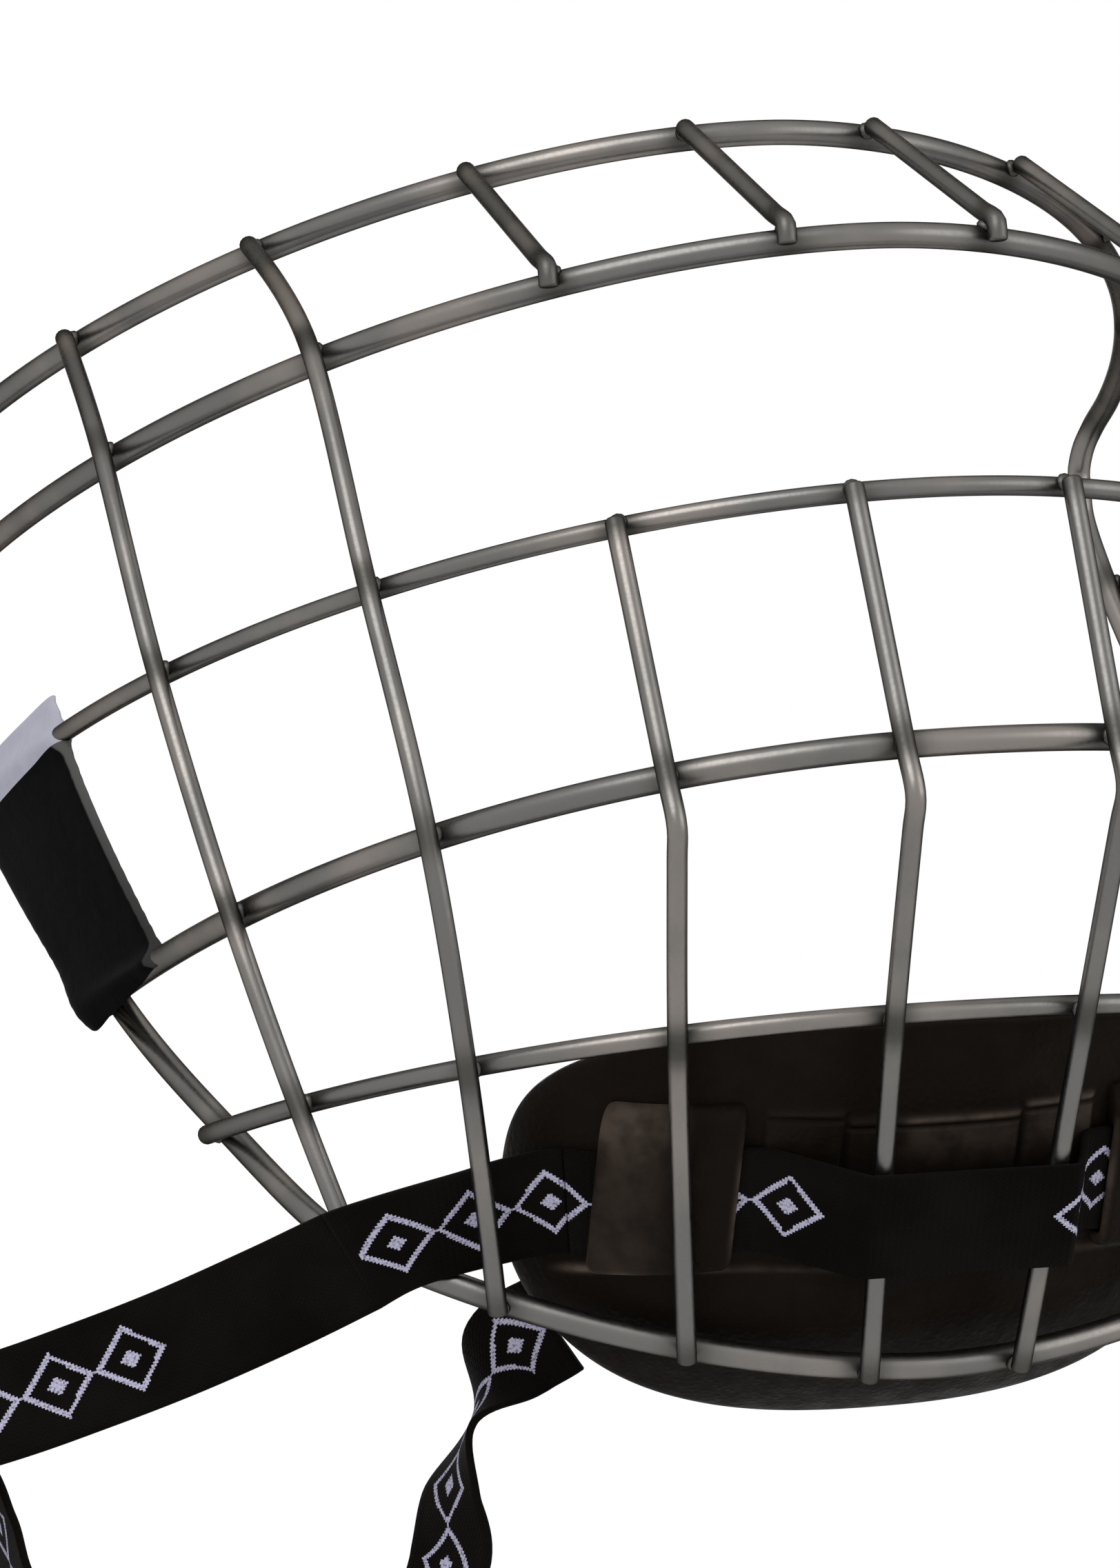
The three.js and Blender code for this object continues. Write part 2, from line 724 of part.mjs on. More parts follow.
// Webbing from the jaw corner to the tab bar and round it, and on back to the rim of the cup
function addLoop(name, side) {
  const { centre, inward, across, face } = tabFrame(side);
  const turnRadius = tabBar / Math.SQRT2 + turnGap + strapThickness / 2;
  const leg = (along, lift) => ({
    point: centre.clone().addScaledVector(inward, along).addScaledVector(face, lift), across,
  });
  const upper = upperRunShares.map((shares) => loopPlace(side, shares));
  upper.push(leg(legLength, turnRadius).point);
  const turned = (i) => cupUp.clone().lerp(across, Math.min(i / jawTurnPoints, 1)).normalize();
  const twists = [cupUp, ...upper.map((point, i) => turned(i))];
  upper.splice(1, 0, upper[0].clone().addScaledVector(jawDirection(side), rootEase));
  const stations = strapStations(upper, twists, runCells);
  stations[0].along = jawDirection(side);
  for (let i = 1; i <= legCells; i += 1) {
    stations.push(leg(legLength * (1 - i / legCells), turnRadius));
  }
  for (let i = 1; i <= turnCells; i += 1) {
    const turn = Math.PI * i / turnCells;
    stations.push(leg(-turnRadius * Math.sin(turn), turnRadius * Math.cos(turn)));
  }
  addMesh(`${name}_upper_webbing`, strapGeometry(stations), webbing);

  const start = leg(strapJoinGap, -turnRadius);
  const lower = [leg(legLength, -turnRadius).point];
  const turns = [across];
  lowerRunShares.forEach((shares, i) => {
    lower.push(loopPlace(side, shares));
    const [x, y, z] = lowerTwistShares[i];
    turns.push(new THREE.Vector3(side * x, y, z));
  });
  const back = [start, ...strapStations(lower, turns, returnCells)];
  addMesh(`${name}_lower_webbing`, strapGeometry(back), webbing);
}

// Geometry built with x away from the webbing, y across it and z out of its face, set on the tab
function onTab(geometry, side, along, lift) {
  const { centre, inward, across, face } = tabFrame(side);
  const outwards = inward.clone().negate();
  const width = face.clone().cross(outwards);
  const basis = new THREE.Matrix4().makeBasis(outwards, width, face);
  const place = centre.clone().addScaledVector(outwards, along).addScaledVector(face, lift);
  return geometry.applyMatrix4(basis.setPosition(place));
}

function roundedPlate(length, width, corner) {
  const plate = new THREE.Shape();
  const left = -tabBar / 2;
  const right = left + length;
  const half = width / 2;
  plate.moveTo(left, -half);
  plate.lineTo(right - corner, -half);
  plate.absarc(right - corner, -half + corner, corner, -Math.PI / 2, 0);
  plate.absarc(right - corner, half - corner, corner, 0, Math.PI / 2);
  plate.lineTo(left, half);
  plate.closePath();
  return plate;
}

function addSnapTab(name, side) {
  const plate = roundedPlate(tabLength, tabWidth, tabCorner);
  const slot = new THREE.Path();
  const slotHalf = strapWidth / 2 + tunnelSide;
  slot.moveTo(tabBar / 2, -slotHalf);
  slot.lineTo(tabBar / 2, slotHalf);
  slot.lineTo(tabBar / 2 + tabSlot, slotHalf);
  slot.lineTo(tabBar / 2 + tabSlot, -slotHalf);
  slot.closePath();
  const hole = new THREE.Path();
  const socketAt = tabLength - tabBar / 2 - socketInset;
  hole.absarc(socketAt, 0, socketNeck + socketGap, 0, 2 * Math.PI, true);
  plate.holes.push(slot, hole);
  const options = { depth: tabThickness, bevelEnabled: false, curveSegments: roundSegments / 2 };
  addMesh(`${name}_snap_tab`, onTab(new THREE.ExtrudeGeometry(plate, options), side, 0, -tabThickness / 2),
    tabPlastic);

  const seat = tabThickness / 2 + socketGap;
  const lip = seat + socketLip;
  const profile = [
    [socketBore, -lip], [socketFlange, -lip], [socketFlange, -seat], [socketNeck, -seat],
    [socketNeck, seat], [socketFlange, seat], [socketFlange, lip], [socketBore, lip], [socketBore, -lip],
  ].map(([radius, height]) => new THREE.Vector2(radius, height));
  const socket = new THREE.LatheGeometry(profile, roundSegments).rotateX(Math.PI / 2);
  addMesh(`${name}_snap_socket`, onTab(socket, side, socketAt, 0), nickel);
}

function addKeeper(name, side) {
  const turnRadius = tabBar / Math.SQRT2 + turnGap + strapThickness / 2;
  const holeWidth = strapWidth / 2 + keeperGap;
  const holeHeight = turnRadius + strapThickness / 2 + keeperGap;
  const ring = new THREE.Shape();
  const box = (path, width, height) => {
    path.moveTo(-height, -width);
    path.lineTo(height, -width);
    path.lineTo(height, width);
    path.lineTo(-height, width);
    path.closePath();
  };
  box(ring, holeWidth + keeperWall, holeHeight + keeperWall);
  const hole = new THREE.Path();
  box(hole, holeWidth, holeHeight);
  ring.holes.push(hole);
  const geometry = new THREE.ExtrudeGeometry(ring, { depth: keeperLength, bevelEnabled: false });
  geometry.rotateY(-Math.PI / 2);
  addMesh(`${name}_strap_keeper`, onTab(geometry, side, -keeperInset, 0), tabPlastic);
}

for (const [name, side] of sides) {
  addStrapRoot(name, side);
  addLoop(name, side);
  addSnapTab(name, side);
  addKeeper(name, side);
}

// Sleeve section at a bar's lap: round behind the side wire, flat outside, thin at the front fold.
// Below the bar the outside is pressed flat against the fold. Each point keeps how far back it lies.
function sleeveSection(bar, lapDegrees, side, length, along, grow, fold, pressed) {
  const lap = side * degrees(lapDegrees);
  const out = outward(bar, lap, along);
  const front = barPoint(bar, lap - side * angleForLength(bar, lap, length));
  const forward = front.sub(barPoint(bar, lap)).normalize();
  const centre = lapPoint(bar, lapDegrees, side, along);
  const inner = heavyWire / 2 + sleeveRoom + grow;
  const offset = heavyWire / 2 + weldGap + bar.wire / 2;
  const half = fold + grow;
  const outer = pressed ? inner : offset + bar.wire / 2 + sleeveRoom + grow;
  const flat = pressed ? offset + half : outer;
  const end = length + grow;
  const round = inner * Math.SQRT1_2;
  return [
    [0, -inner], [-round, -round], [-inner, 0], [-inner, outer - inner],
    [-round, outer - inner + round], [0, outer], [end * sleeveFlatShare, flat],
    [end - half, offset + half], [end, offset], [end - half, offset - half], [2 * inner, -inner / 3],
  ].map(([ahead, lift]) => ({
    rear: 1 - Math.min(Math.max(ahead / end, 0), 1),
    point: centre.clone().addScaledVector(forward, ahead).addScaledVector(out, lift),
  }));
}

// How far the side wire has bent away from the straight line between its two laps
function wireShift(side, place, along) {
  const route = new THREE.CatmullRomCurve3(sideRoute(side), false, 'centripetal').getPoints(routeSteps);
  const level = (point) => Math.abs(point.clone().sub(place).dot(along));
  const nearest = route.reduce((best, point) => (level(point) < level(best) ? point : best));
  const shift = nearest.clone().sub(place);
  return shift.addScaledVector(along, -shift.dot(along));
}

function sleeveShell(side, grow, overrun) {
  const eyeLap = barPoint(eyeBar, side * degrees(eyeLapDegrees));
  const noseLap = barPoint(noseBar, side * degrees(noseLapDegrees));
  const span = eyeLap.distanceTo(noseLap);
  const along = eyeLap.sub(noseLap).normalize();
  const foot = -sleeveFootDrop / span;
  const high = 1 + (sleeveTopRise + overrun) / span;
  const centres = [
    lapPoint(noseBar, noseLapDegrees, side, along), lapPoint(eyeBar, eyeLapDegrees, side, along),
  ];
  const rings = [foot, 0, ...sleeveRingShares, 1, high].map((share) => {
    const between = share > 0 && share < 1;
    const [nose, eye] = [
      [noseBar, noseLapDegrees, sleeveNoseLength], [eyeBar, eyeLapDegrees, sleeveEyeLength],
    ].map(([bar, lapDegrees, length]) => sleeveSection(
      bar, lapDegrees, side, length, along, grow,
      between ? sleeveFold : bar.wire / 2 + weldGap, share < 0));
    const shift = wireShift(side, centres[0].clone().lerp(centres[1], share), along);
    return nose.map(({ point, rear }, i) => {
      const drop = sleeveToeDrop + (sleeveFootDrop - sleeveToeDrop) * rear + overrun;
      return point.clone().lerp(eye[i].point, share < 0 ? -drop / span : share).add(shift);
    });
  });
  return facingOut(tubeGeometry(rings));
}

function addSleeve(name, side) {
  let sleeve = toSolid(sleeveShell(side, sleeveWall, 0)).subtract(toSolid(sleeveShell(side, 0, sleeveWall)));
  const rear = heavyWire + 2 * weldGap;
  const bars = [[eyeBar, eyeLapDegrees, sleeveEyeLength], [noseBar, noseLapDegrees, sleeveNoseLength]];
  for (const [bar, lapDegrees, length] of bars) {
    const lap = side * degrees(lapDegrees);
    const points = [];
    for (let i = 0; i <= longSteps; i += 1) {
      const along = (length + rear) * (i / longSteps * 2 - 1 / 2);
      points.push(barPoint(bar, lap - side * angleForLength(bar, lap, along)));
    }
    sleeve = sleeve.subtract(toSolid(wireGeometry(points, bar.wire + 2 * weldGap, longSteps)));
  }
  sleeve = sleeve.subtract(wireClearance(`${name}_side_wire`, weldGap));
  addMesh(`${name}_label_sleeve`, toGeometry(sleeve), vinyl);
}

for (const [name, side] of sides) addSleeve(name, side);

export default cage;
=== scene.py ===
"""Hockey face cage, dressed for its picture: satin wires with weld beads, a moulded chin cup with
raised webbing loops, a foam chin pad, woven harness webbing, snap tabs and vinyl sleeves.
Metres, +Z up, the face of the cage looks to -Y; the origin is on the middle of the top bar."""

import math
from collections import namedtuple

import bpy
import numpy as np
from mathutils import Matrix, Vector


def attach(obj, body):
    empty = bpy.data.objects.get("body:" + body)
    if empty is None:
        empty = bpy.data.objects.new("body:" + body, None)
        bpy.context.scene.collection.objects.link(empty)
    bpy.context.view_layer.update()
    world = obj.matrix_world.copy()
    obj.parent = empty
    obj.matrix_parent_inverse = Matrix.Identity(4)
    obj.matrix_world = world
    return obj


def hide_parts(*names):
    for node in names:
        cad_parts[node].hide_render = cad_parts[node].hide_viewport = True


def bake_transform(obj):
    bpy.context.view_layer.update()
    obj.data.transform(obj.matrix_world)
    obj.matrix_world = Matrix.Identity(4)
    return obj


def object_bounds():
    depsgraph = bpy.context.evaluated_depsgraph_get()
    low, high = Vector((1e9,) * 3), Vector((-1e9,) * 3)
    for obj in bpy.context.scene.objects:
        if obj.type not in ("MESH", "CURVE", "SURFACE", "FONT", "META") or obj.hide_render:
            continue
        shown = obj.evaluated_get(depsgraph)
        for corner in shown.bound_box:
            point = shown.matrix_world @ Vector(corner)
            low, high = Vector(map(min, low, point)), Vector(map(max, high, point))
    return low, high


bl_info = {
    "name": "Hockey Face Cage",
    "version": (1, 0, 0),
    "blender": (4, 5, 0),
    "location": "View3D > Sidebar > Face Cage",
    "description": "Builds the finished pieces of a wire face cage for a hockey helmet",
    "category": "Add Mesh",
}

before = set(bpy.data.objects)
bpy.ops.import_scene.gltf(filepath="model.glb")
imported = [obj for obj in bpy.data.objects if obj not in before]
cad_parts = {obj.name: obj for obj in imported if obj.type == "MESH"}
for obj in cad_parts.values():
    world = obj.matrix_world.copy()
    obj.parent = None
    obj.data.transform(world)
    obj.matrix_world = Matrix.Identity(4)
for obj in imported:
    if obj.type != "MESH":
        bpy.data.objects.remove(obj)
CAD_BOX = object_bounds()

MM = 0.001
SIDES = (("left", 1), ("right", -1))
ACROSS = np.array([1.0, 0.0, 0.0])
UP = np.array([0.0, 0.0, 1.0])
TANGENT_SHARE = 0.002

# Cross bars: each bends round the face as half a superellipse. forward and drop place its middle in
# front of and below the top bar, slope is the rise towards the rear, square the exponent.
Bar = namedtuple("Bar", "heavy half_width depth forward drop slope square spread")
BARS = {
    "top_bar": Bar(True, 106.7 * MM, 156.2 * MM, 0, 0, -0.196, 1.85, (0.135, 0.410, 0.659, 0.852)),
    "brow_bar": Bar(
        True, 109.0 * MM, 167.8 * MM, 43.7 * MM, 24.8 * MM, -0.166, 1.88, (0.143, 0.421, 0.674, 0.872)
    ),
    "eye_bar": Bar(
        False, 107.5 * MM, 161.9 * MM, 63.4 * MM, 65.5 * MM, -0.134, 2.0, (0.150, 0.432, 0.692, 0.887)
    ),
    "nose_bar": Bar(
        True, 101.2 * MM, 162.8 * MM, 72.5 * MM, 103.4 * MM, -0.153, 2.22, (0.154, 0.451, 0.710, 0.893)
    ),
    "mouth_bar": Bar(
        False, 97.0 * MM, 127.0 * MM, 56.3 * MM, 140.6 * MM, -0.080, 2.25, (0.149, 0.446, 0.697, 0.873)
    ),
    "chin_bar": Bar(
        True, 112.3 * MM, 66.7 * MM, 26.6 * MM, 190.7 * MM, 0.996, 1.79, (0.102, 0.329, 0.550, 0.715)
    ),
}
ALL_BARS = tuple(BARS)
LOW_BARS = ALL_BARS[2:]

# Angles round each bar where it ends or the side wire crosses behind it, in degrees
LAP_DEGREES = {"brow_bar": 92.7, "eye_bar": 92.0, "nose_bar": 83.0, "mouth_bar": 73.5}
TOP_END_DEGREES = 80.0
CHIN_END_DEGREES = 44.5
JAW_CORNER_DEGREES = 50.0
LAP_OVERHANG = 1.0 * MM
BUTT_GAP = 0.4 * MM
WELD_GAP = 0.3 * MM
TEMPLE = {"reach": 7.4 * MM, "drop": 10.0 * MM, "straight": 3.5 * MM}
KNEE_SHARES = (0.62, 0.28)
END_OVERHANG = 0.4 * MM
TOP_LEAN_SHARE = 0.75
BROW_ELBOW = 1.9 * MM
BROW_KNEE_SHARE = 0.88
BROW_FOOT = 1.0 * MM
NOSE_BEND_DROP = 8.0 * MM
NOSE_BEND_SHARE = 0.15
TEMPLE_HINT = np.array([0.0, 1.0, 1.0])
WIRE_STEP = 1.2 * MM
WIRE_SIDES = 16
WIRE_END_FLAT = 0.72

# Weld beads and the darker steel beside them
BEAD_FLATNESS = 0.62
BEAD_CLOSE_DEGREES = 84.0
BUTT_BEAD_HALF = 1.1 * MM
BUTT_BEAD_SWELL = (0.9, 0.24)
DARK_START = 1.6 * MM
DARK_FADE = 2.4 * MM

# Chin cup: its own axes run across, up along the middle uprights and inwards
CUP_SHIFT = -3.5 * MM
CUP_HALF = (BARS["chin_bar"].half_width * 0.512, 35.0 * MM)
CUP_DROP = 10.0 * MM
RIM_SHARES = (3.0, 2.4)
CUP_GAP = 0.9 * MM
BOWL_HALF_WIDTH = CUP_HALF[0] * 1.0435
BOWL_DEPTH = 42.0 * MM
BOWL_SHARE = 2.3
CURL_START = 14.0 * MM
CURL_HEIGHT = 35.0 * MM
CURL_DEPTH = 23.0 * MM
SLOPE_STEP = 2e-6

# Foam pad: its rim as a share of the cup's, and the channels pressed into it
PAD_RIM_SHARE = 0.86
PAD_GAP = 0.7 * MM
PAD_EDGE_SHARE = 0.3
CHANNEL = {"drop": 8.0 * MM, "out": 20.0 * MM, "half": 1.3 * MM, "depth": 0.32}

# Relief of the cup over its webbing: a middle panel and two outer ones, each with a crest above it, and
# a lip below. A pair is where the relief starts and where it is full, from the cup's middle
MIDDLE_PANEL = (13.5 * MM, 12.9 * MM)
OUTER_PANEL = ((13.9 * MM, 14.5 * MM), (26.0 * MM, 25.0 * MM))
PANEL_FOOT = (-3.0 * MM, -1.0 * MM)
PANEL_HEAD = (-1.0 * MM, -1.6 * MM)
PANEL_LIFT = 0.9
CREST = {"height": 9.8 * MM, "drop": 1.3 * MM, "drop_at": 13.7 * MM, "half": 0.75 * MM}
LIP = {"drop": 14.0 * MM, "sink": 4.8 * MM, "reach": 48.5 * MM, "half": 0.9 * MM}
LIP_ENDS = (52.0 * MM, 47.0 * MM)

# Painted highlight on the cup: where it starts and is full, and how strong it is
HIGHLIGHT_START = (-7.0 * MM, -3.0 * MM)
HIGHLIGHT_CLIMB = (0.0, 8.0 * MM)
HIGHLIGHT_LIP = (27.0 * MM, 34.0 * MM)
HIGHLIGHT_PANEL = 0.32
HIGHLIGHT_CREST = (0.75, 0.5 * MM)

# Raised loops of the cup and the webbing that threads through them
STRAP_DROP = 2.5 * MM
STRAP_DROOP = 4.5 * MM
STRAP_GAP = 0.35 * MM
LOOP_SPAN = (CUP_HALF[0] * 0.4696, CUP_HALF[0] * 0.8087)
LOOP_ROOF = 1.0 * MM
LOOP_PUFF = 0.9 * MM
LOOP_FOOT = (-14.2 * MM, -18.2 * MM)
LOOP_HEAD = (12.5 * MM, 9.5 * MM)
LOOP_SET_BACK = 1.4 * MM
LOOP_SHOULDERS = (2.0 * MM, 4.8 * MM)
LOOP_ROUND = 1.3 * MM
LOOP_SUNK = 0.8 * MM
TUNNEL_SIDE = 0.6 * MM
TUNNEL_EXIT = 3.0 * MM
SLOT_RUN = 2.2 * MM
FRONT_EASE = (0.28, 0.22)
JOIN_GAP = 0.3 * MM
ROOT_EASE = (0.8, 1.0, 1.2)
LOOP_LEAD = 3.0 * MM
CHEEK_PASS = (2.4 * MM, 10.8 * MM)
JAW_PASS = 2.8 * MM
JAW_DROP = 2.6 * MM
BAND_STEP = 0.9 * MM
CLEAR_GAP = 0.25 * MM
FRONT_CLEAR_GAP = 0.1 * MM

# Side loops, as shares of their reach, run and fall from the jaw corner
LOOP_SIZE = np.array([88.0, 46.0, 68.0]) * MM
TAB_SHARES = (1, 1, 0.385)
LEG_SHARES = (0.516, 0.739, 0.250)
UPPER_RUN = (
    (0, 0, 0), (0.100, 0.217, 0.062), (0.248, 0.500, 0.143), (0.384, 0.641, 0.201), (0.516, 0.739, 0.250),
)
LOWER_RUN = (
    (0.702, 0.978, 0.309), (0.611, 1.011, 0.304), (0.538, 1.011, 0.371), (0.503, 0.978, 0.503),
    (0.481, 0.935, 0.635), (0.384, 0.891, 0.826), (0.236, 0.826, 0.974), (0.043, 0.717, 1.003),
    (-0.116, 0.630, 0.885), (-0.219, 0.564, 0.669), (-0.233, 0.562, 0.511), (-0.276, 0.542, 0.365),
    (-0.338, 0.458, 0.214), (-0.399, 0.349, 0.161),
)
LOWER_TWIST = (
    (0, 0.6, 0.7), (0, 1, 0.1), (0, 1, 0), (0, 1, 0), (0, 1, 0), (0, 1, 0), (0.05, 1, 0), (0.1, 1, 0),
    (0.3, 0.93, 0.1), (0.5, 0.85, -0.1), (0.2, 0.95, 0), (-0.3, 0.95, 0), (0.45, 0.35, 0.8),
    (0.45, -0.1, 0.88),
)
LEG_LENGTH = 19.0 * MM
TWIST_REACH = 40.0 * MM

# Snap tab, socket and keeper
TAB = {"length": 29.0 * MM, "width": 23.0 * MM, "thick": 2.4 * MM, "corner": 5.0 * MM, "bar": 2.4 * MM}
TAB_SLOT = 3.2 * MM
TAB_EDGE = 0.5 * MM
TURN_GAP = 0.4 * MM
SOCKET = {"inset": 11.0 * MM, "bore": 3.6 * MM, "neck": 4.8 * MM, "flange": 6.8 * MM, "lip": 0.7 * MM}
SOCKET_GAP = 0.3 * MM
KEEPER = {"length": 7.0 * MM, "wall": 1.6 * MM, "gap": 0.5 * MM, "corner": 0.4 * MM, "inset": 6.5 * MM}

# Vinyl sleeve
SLEEVE_ROOM = 0.6 * MM
SLEEVE_FOLD = 0.1 * MM
SLEEVE_FOLD_WALL = 0.6
SLEEVE_PINCH = 8.0 * MM
SLEEVE_GRIP = 2.5 * MM
SLEEVE_GRIP_GAP = 0.1 * MM
SLEEVE_HUG = 0.40
SLEEVE_LENGTHS = {"eye_bar": 45.5 * MM, "nose_bar": 32.0 * MM}
SLEEVE_RISE = 8.0 * MM
SLEEVE_FOOT = 6.0 * MM
SLEEVE_TOE = 1.6 * MM
SLEEVE_LIFT = 4.5 * MM
SLEEVE_TILT = 4.0 * MM

# Woven motif: lozenges of a period and a half height, with the outline, its stroke and the solid heart
# as shares of them, in groups of whole periods, each turn of periods once. Start is its place where the
# webbing leaves the loop on the wearer's right, and end where a side loop comes back to the cup
MOTIF = {
    "period": 11.8 * MM, "half": 5.2 * MM, "outline": 0.90, "stroke": 0.10, "heart": 0.27, "group": 6,
    "turn": 9, "start": 32.0 * MM, "end": 60.0 * MM,
}

# Pitch of the motif's yarns and of the ribs, along the webbing and across it
YARN_STEPS = (0.42 * MM, 0.36 * MM)
RIB_PITCHES = (1.05 * MM, 0.75 * MM)

# Camera, from the photograph: turn, rise and roll in degrees, its place and its focal length
CAMERA_TURN = -18.34
CAMERA_RISE = -5.79
CAMERA_ROLL = -4.31
CAMERA_PLACE = (-0.3593, -0.9543, -0.2014)
CAMERA_LENS = 154.13
CAMERA_SENSOR = 36.0
CAMERA_CLIP = 0.05

# Lamps: name, place, width of the disc and power. Each looks at one point inside the cage
LAMPS = (
    ("key", (-1.1, -1.2, 1.4), 1.8, 24.0),
    ("fill", (1.4, -1.2, 0.4), 1.6, 9.0),
    ("back", (0.3, 1.7, 0.9), 2.2, 8.0),
)
LAMP_TARGET = np.array([0.0, 0.0, -0.12])
FLOOR_DROP = 0.02
FLOOR_HALF = 6.0
FLOOR_COLOUR = (0.80, 0.80, 0.80)
FLOOR_ROUGHNESS = 0.9
SKY_COLOUR = (0.95, 0.97, 1.0)
SKY_STRENGTH = 0.55


def length_property(name, description, default):
    return bpy.props.FloatProperty(name=name, description=description, default=default, unit="LENGTH")


def colour_property(name, description, default):
    return bpy.props.FloatVectorProperty(
        name=name, description=description, default=default, size=3, subtype="COLOR", min=0, max=1
    )


def share_property(name, description, default):
    return bpy.props.FloatProperty(
        name=name, description=description, default=default, min=0, max=1, subtype="FACTOR"
    )


class CageWireSizes(bpy.types.PropertyGroup):
    heavy: length_property("Heavy wire", "Diameter of the frame's heavy wire", 4.0 * MM)
    light: length_property("Light wire", "Diameter of the light wire", 3.0 * MM)
    chamfer: length_property("End rounding", "Length over which a cut wire end is rounded", 0.5 * MM)
    bead: length_property("Weld bead", "Half the width of a weld bead", 1.45 * MM)
    colour: colour_property("Steel", "Colour of the satin plated steel", (0.158, 0.155, 0.148))
    warm: colour_property("Warm steel", "Colour of the plating where it is clouded", (0.235, 0.215, 0.198))
    dark: colour_property("Steel at welds", "Colour of the steel beside a weld", (0.062, 0.060, 0.054))
    edge: colour_property("Steel edge", "Tint of the plating at a grazing angle", (0.12, 0.12, 0.12))
    roughness: share_property("Steel roughness", "Roughness of the satin plating", 0.33)


class CageCupSizes(bpy.types.PropertyGroup):
    wall: length_property("Cup wall", "Thickness of the moulded chin cup", 2.6 * MM)
    ridge: length_property("Ridge", "Height of the moulded ridges on the cup", 0.65 * MM)
    pad: length_property("Pad thickness", "Thickness of the foam chin pad", 8.0 * MM)
    colour: colour_property("Cup", "Colour of the moulded cup", (0.0068, 0.0046, 0.0031))
    # Colour of the cup's painted highlight: a lighter brown painted on crests, loops and lip where light
    # catches them
    painted_highlight: colour_property("Cup highlights", "Colour of the cup where it is rubbed", (0.115, 0.086, 0.066))
    foam: colour_property("Foam", "Colour of the chin pad", (0.020, 0.018, 0.017))


class CageWebbingSizes(bpy.types.PropertyGroup):
    width: length_property("Webbing width", "Width of the harness webbing", 16.5 * MM)
    thickness: length_property("Webbing thickness", "Thickness of the webbing", 1.4 * MM)
    colour: colour_property("Webbing", "Colour of the woven nylon", (0.0036, 0.0030, 0.0026))
    motif: colour_property("Motif", "Colour of the woven motif", (0.50, 0.48, 0.62))


class CageSleeveSizes(bpy.types.PropertyGroup):
    wall: length_property("Sleeve wall", "Thickness of the vinyl sleeve", 0.6 * MM)
    colour: colour_property("Sleeve", "Colour of the vinyl", (0.0026, 0.0022, 0.0022))
    # Colour of the painted highlight along the sleeve's front fold
    fold_highlight: colour_property("Welt", "Colour of the sleeve's rubbed front fold", (0.10, 0.098, 0.095))
    band: colour_property("Band", "Colour of the sleeve's top band", (0.46, 0.455, 0.53))
    band_share: share_property("Band foot", "Height of the band's foot, as a share from bar to bar", 0.97)


def sizes():
    scene = bpy.context.scene
    return scene.cage_wires, scene.cage_cup, scene.cage_webbing, scene.cage_sleeve


# Small vector helpers on arrays whose last axis holds x, y and z


def unit(vector):
    vector = np.asarray(vector, float)
    return vector / np.linalg.norm(vector, axis=-1, keepdims=True)


def dots(a, b):
    return np.sum(np.asarray(a) * np.asarray(b), axis=-1, keepdims=True)


def spaced(*values):
    """The values as arrays of one shape, each with a last axis for x, y and z."""
    return np.broadcast_arrays(*(np.asarray(value, float)[..., None] for value in values))


def smooth_step(value, low, high):
    share = np.clip((value - low) / (high - low), 0, 1)
    return share * share * (3 - 2 * share)


def bell(value, width):
    return np.exp(-((value / width) ** 2))


def squared_off(value, power):
    """The value to a power, with its sign kept: below one it makes a circle squarer."""
    return np.sign(value) * np.abs(value) ** power


def full_turn(count):
    return 2 * math.pi * np.arange(count) / count


def smooth_path(points, per_span=16):
    """Centripetal Catmull-Rom curve: between two points it is the cubic whose end slopes come from the
    neighbours, each weighed by the square root of its distance. Columns past the third ride along."""
    p = np.asarray(points, float)
    p = np.vstack([2 * p[0] - p[1], p, 2 * p[-1] - p[-2]])
    p0, p1, p2, p3 = p[:-3], p[1:-2], p[2:-1], p[3:]

    def step(a, b):
        return np.sqrt(np.maximum(np.linalg.norm((b - a)[:, :3], axis=1, keepdims=True), 1e-9))

    d0, d1, d2 = step(p0, p1), step(p1, p2), step(p2, p3)
    slope1 = ((p1 - p0) / d0 - (p2 - p0) / (d0 + d1) + (p2 - p1) / d1) * d1
    slope2 = ((p2 - p1) / d1 - (p3 - p1) / (d1 + d2) + (p3 - p2) / d2) * d1
    s = (np.arange(per_span) / per_span)[None, :, None]
    curve = (
        (2 * s**3 - 3 * s**2 + 1) * p1[:, None]
        + (s**3 - 2 * s**2 + s) * slope1[:, None]
        + (3 * s**2 - 2 * s**3) * p2[:, None]
        + (s**3 - s**2) * slope2[:, None]
    )
    return np.vstack([curve.reshape(-1, p.shape[1]), p2[-1:]])


def arc_lengths(path):
    return np.r_[0, np.cumsum(np.linalg.norm(np.diff(path, axis=0), axis=1))]


def resample(path, values, at):
    """Values along a path, read off at the given lengths from its start."""
    lengths = arc_lengths(path)
    return np.stack([np.interp(at, lengths, values[:, k]) for k in range(values.shape[1])], -1)


def tangents(path):
    return unit(np.gradient(path, axis=0))


# Meshes


def ring_faces(rows, columns):
    """Four-sided faces between rows of points, each row closed into a ring."""
    i, j = np.meshgrid(np.arange(rows - 1) * columns, np.arange(columns), indexing="ij")
    i, j = i.ravel(), j.ravel()
    k = (j + 1) % columns
    return np.stack([i + j, i + k, i + columns + k, i + columns + j], 1)


Shell = namedtuple("Shell", "points faces values")


def ring_shell(rings, values=None):
    """Closed shell from rings of points, with a fan round its middle at either end."""
    rows, columns = rings.shape[:2]
    points = rings.reshape(-1, 3)
    faces = [tuple(f) for f in ring_faces(rows, columns)]
    extra = None if values is None else values.reshape(-1, values.shape[-1])
    for start, flip in ((0, True), ((rows - 1) * columns, False)):
        ring = list(range(start, start + columns))
        middle = len(points)
        points = np.vstack([points, points[ring].mean(0)])
        if extra is not None:
            extra = np.vstack([extra, extra[ring].mean(0)])
        pairs = zip(ring, ring[1:] + ring[:1])
        faces += [(middle, b, a) if flip else (middle, a, b) for a, b in pairs]
    return Shell(points, faces, extra)


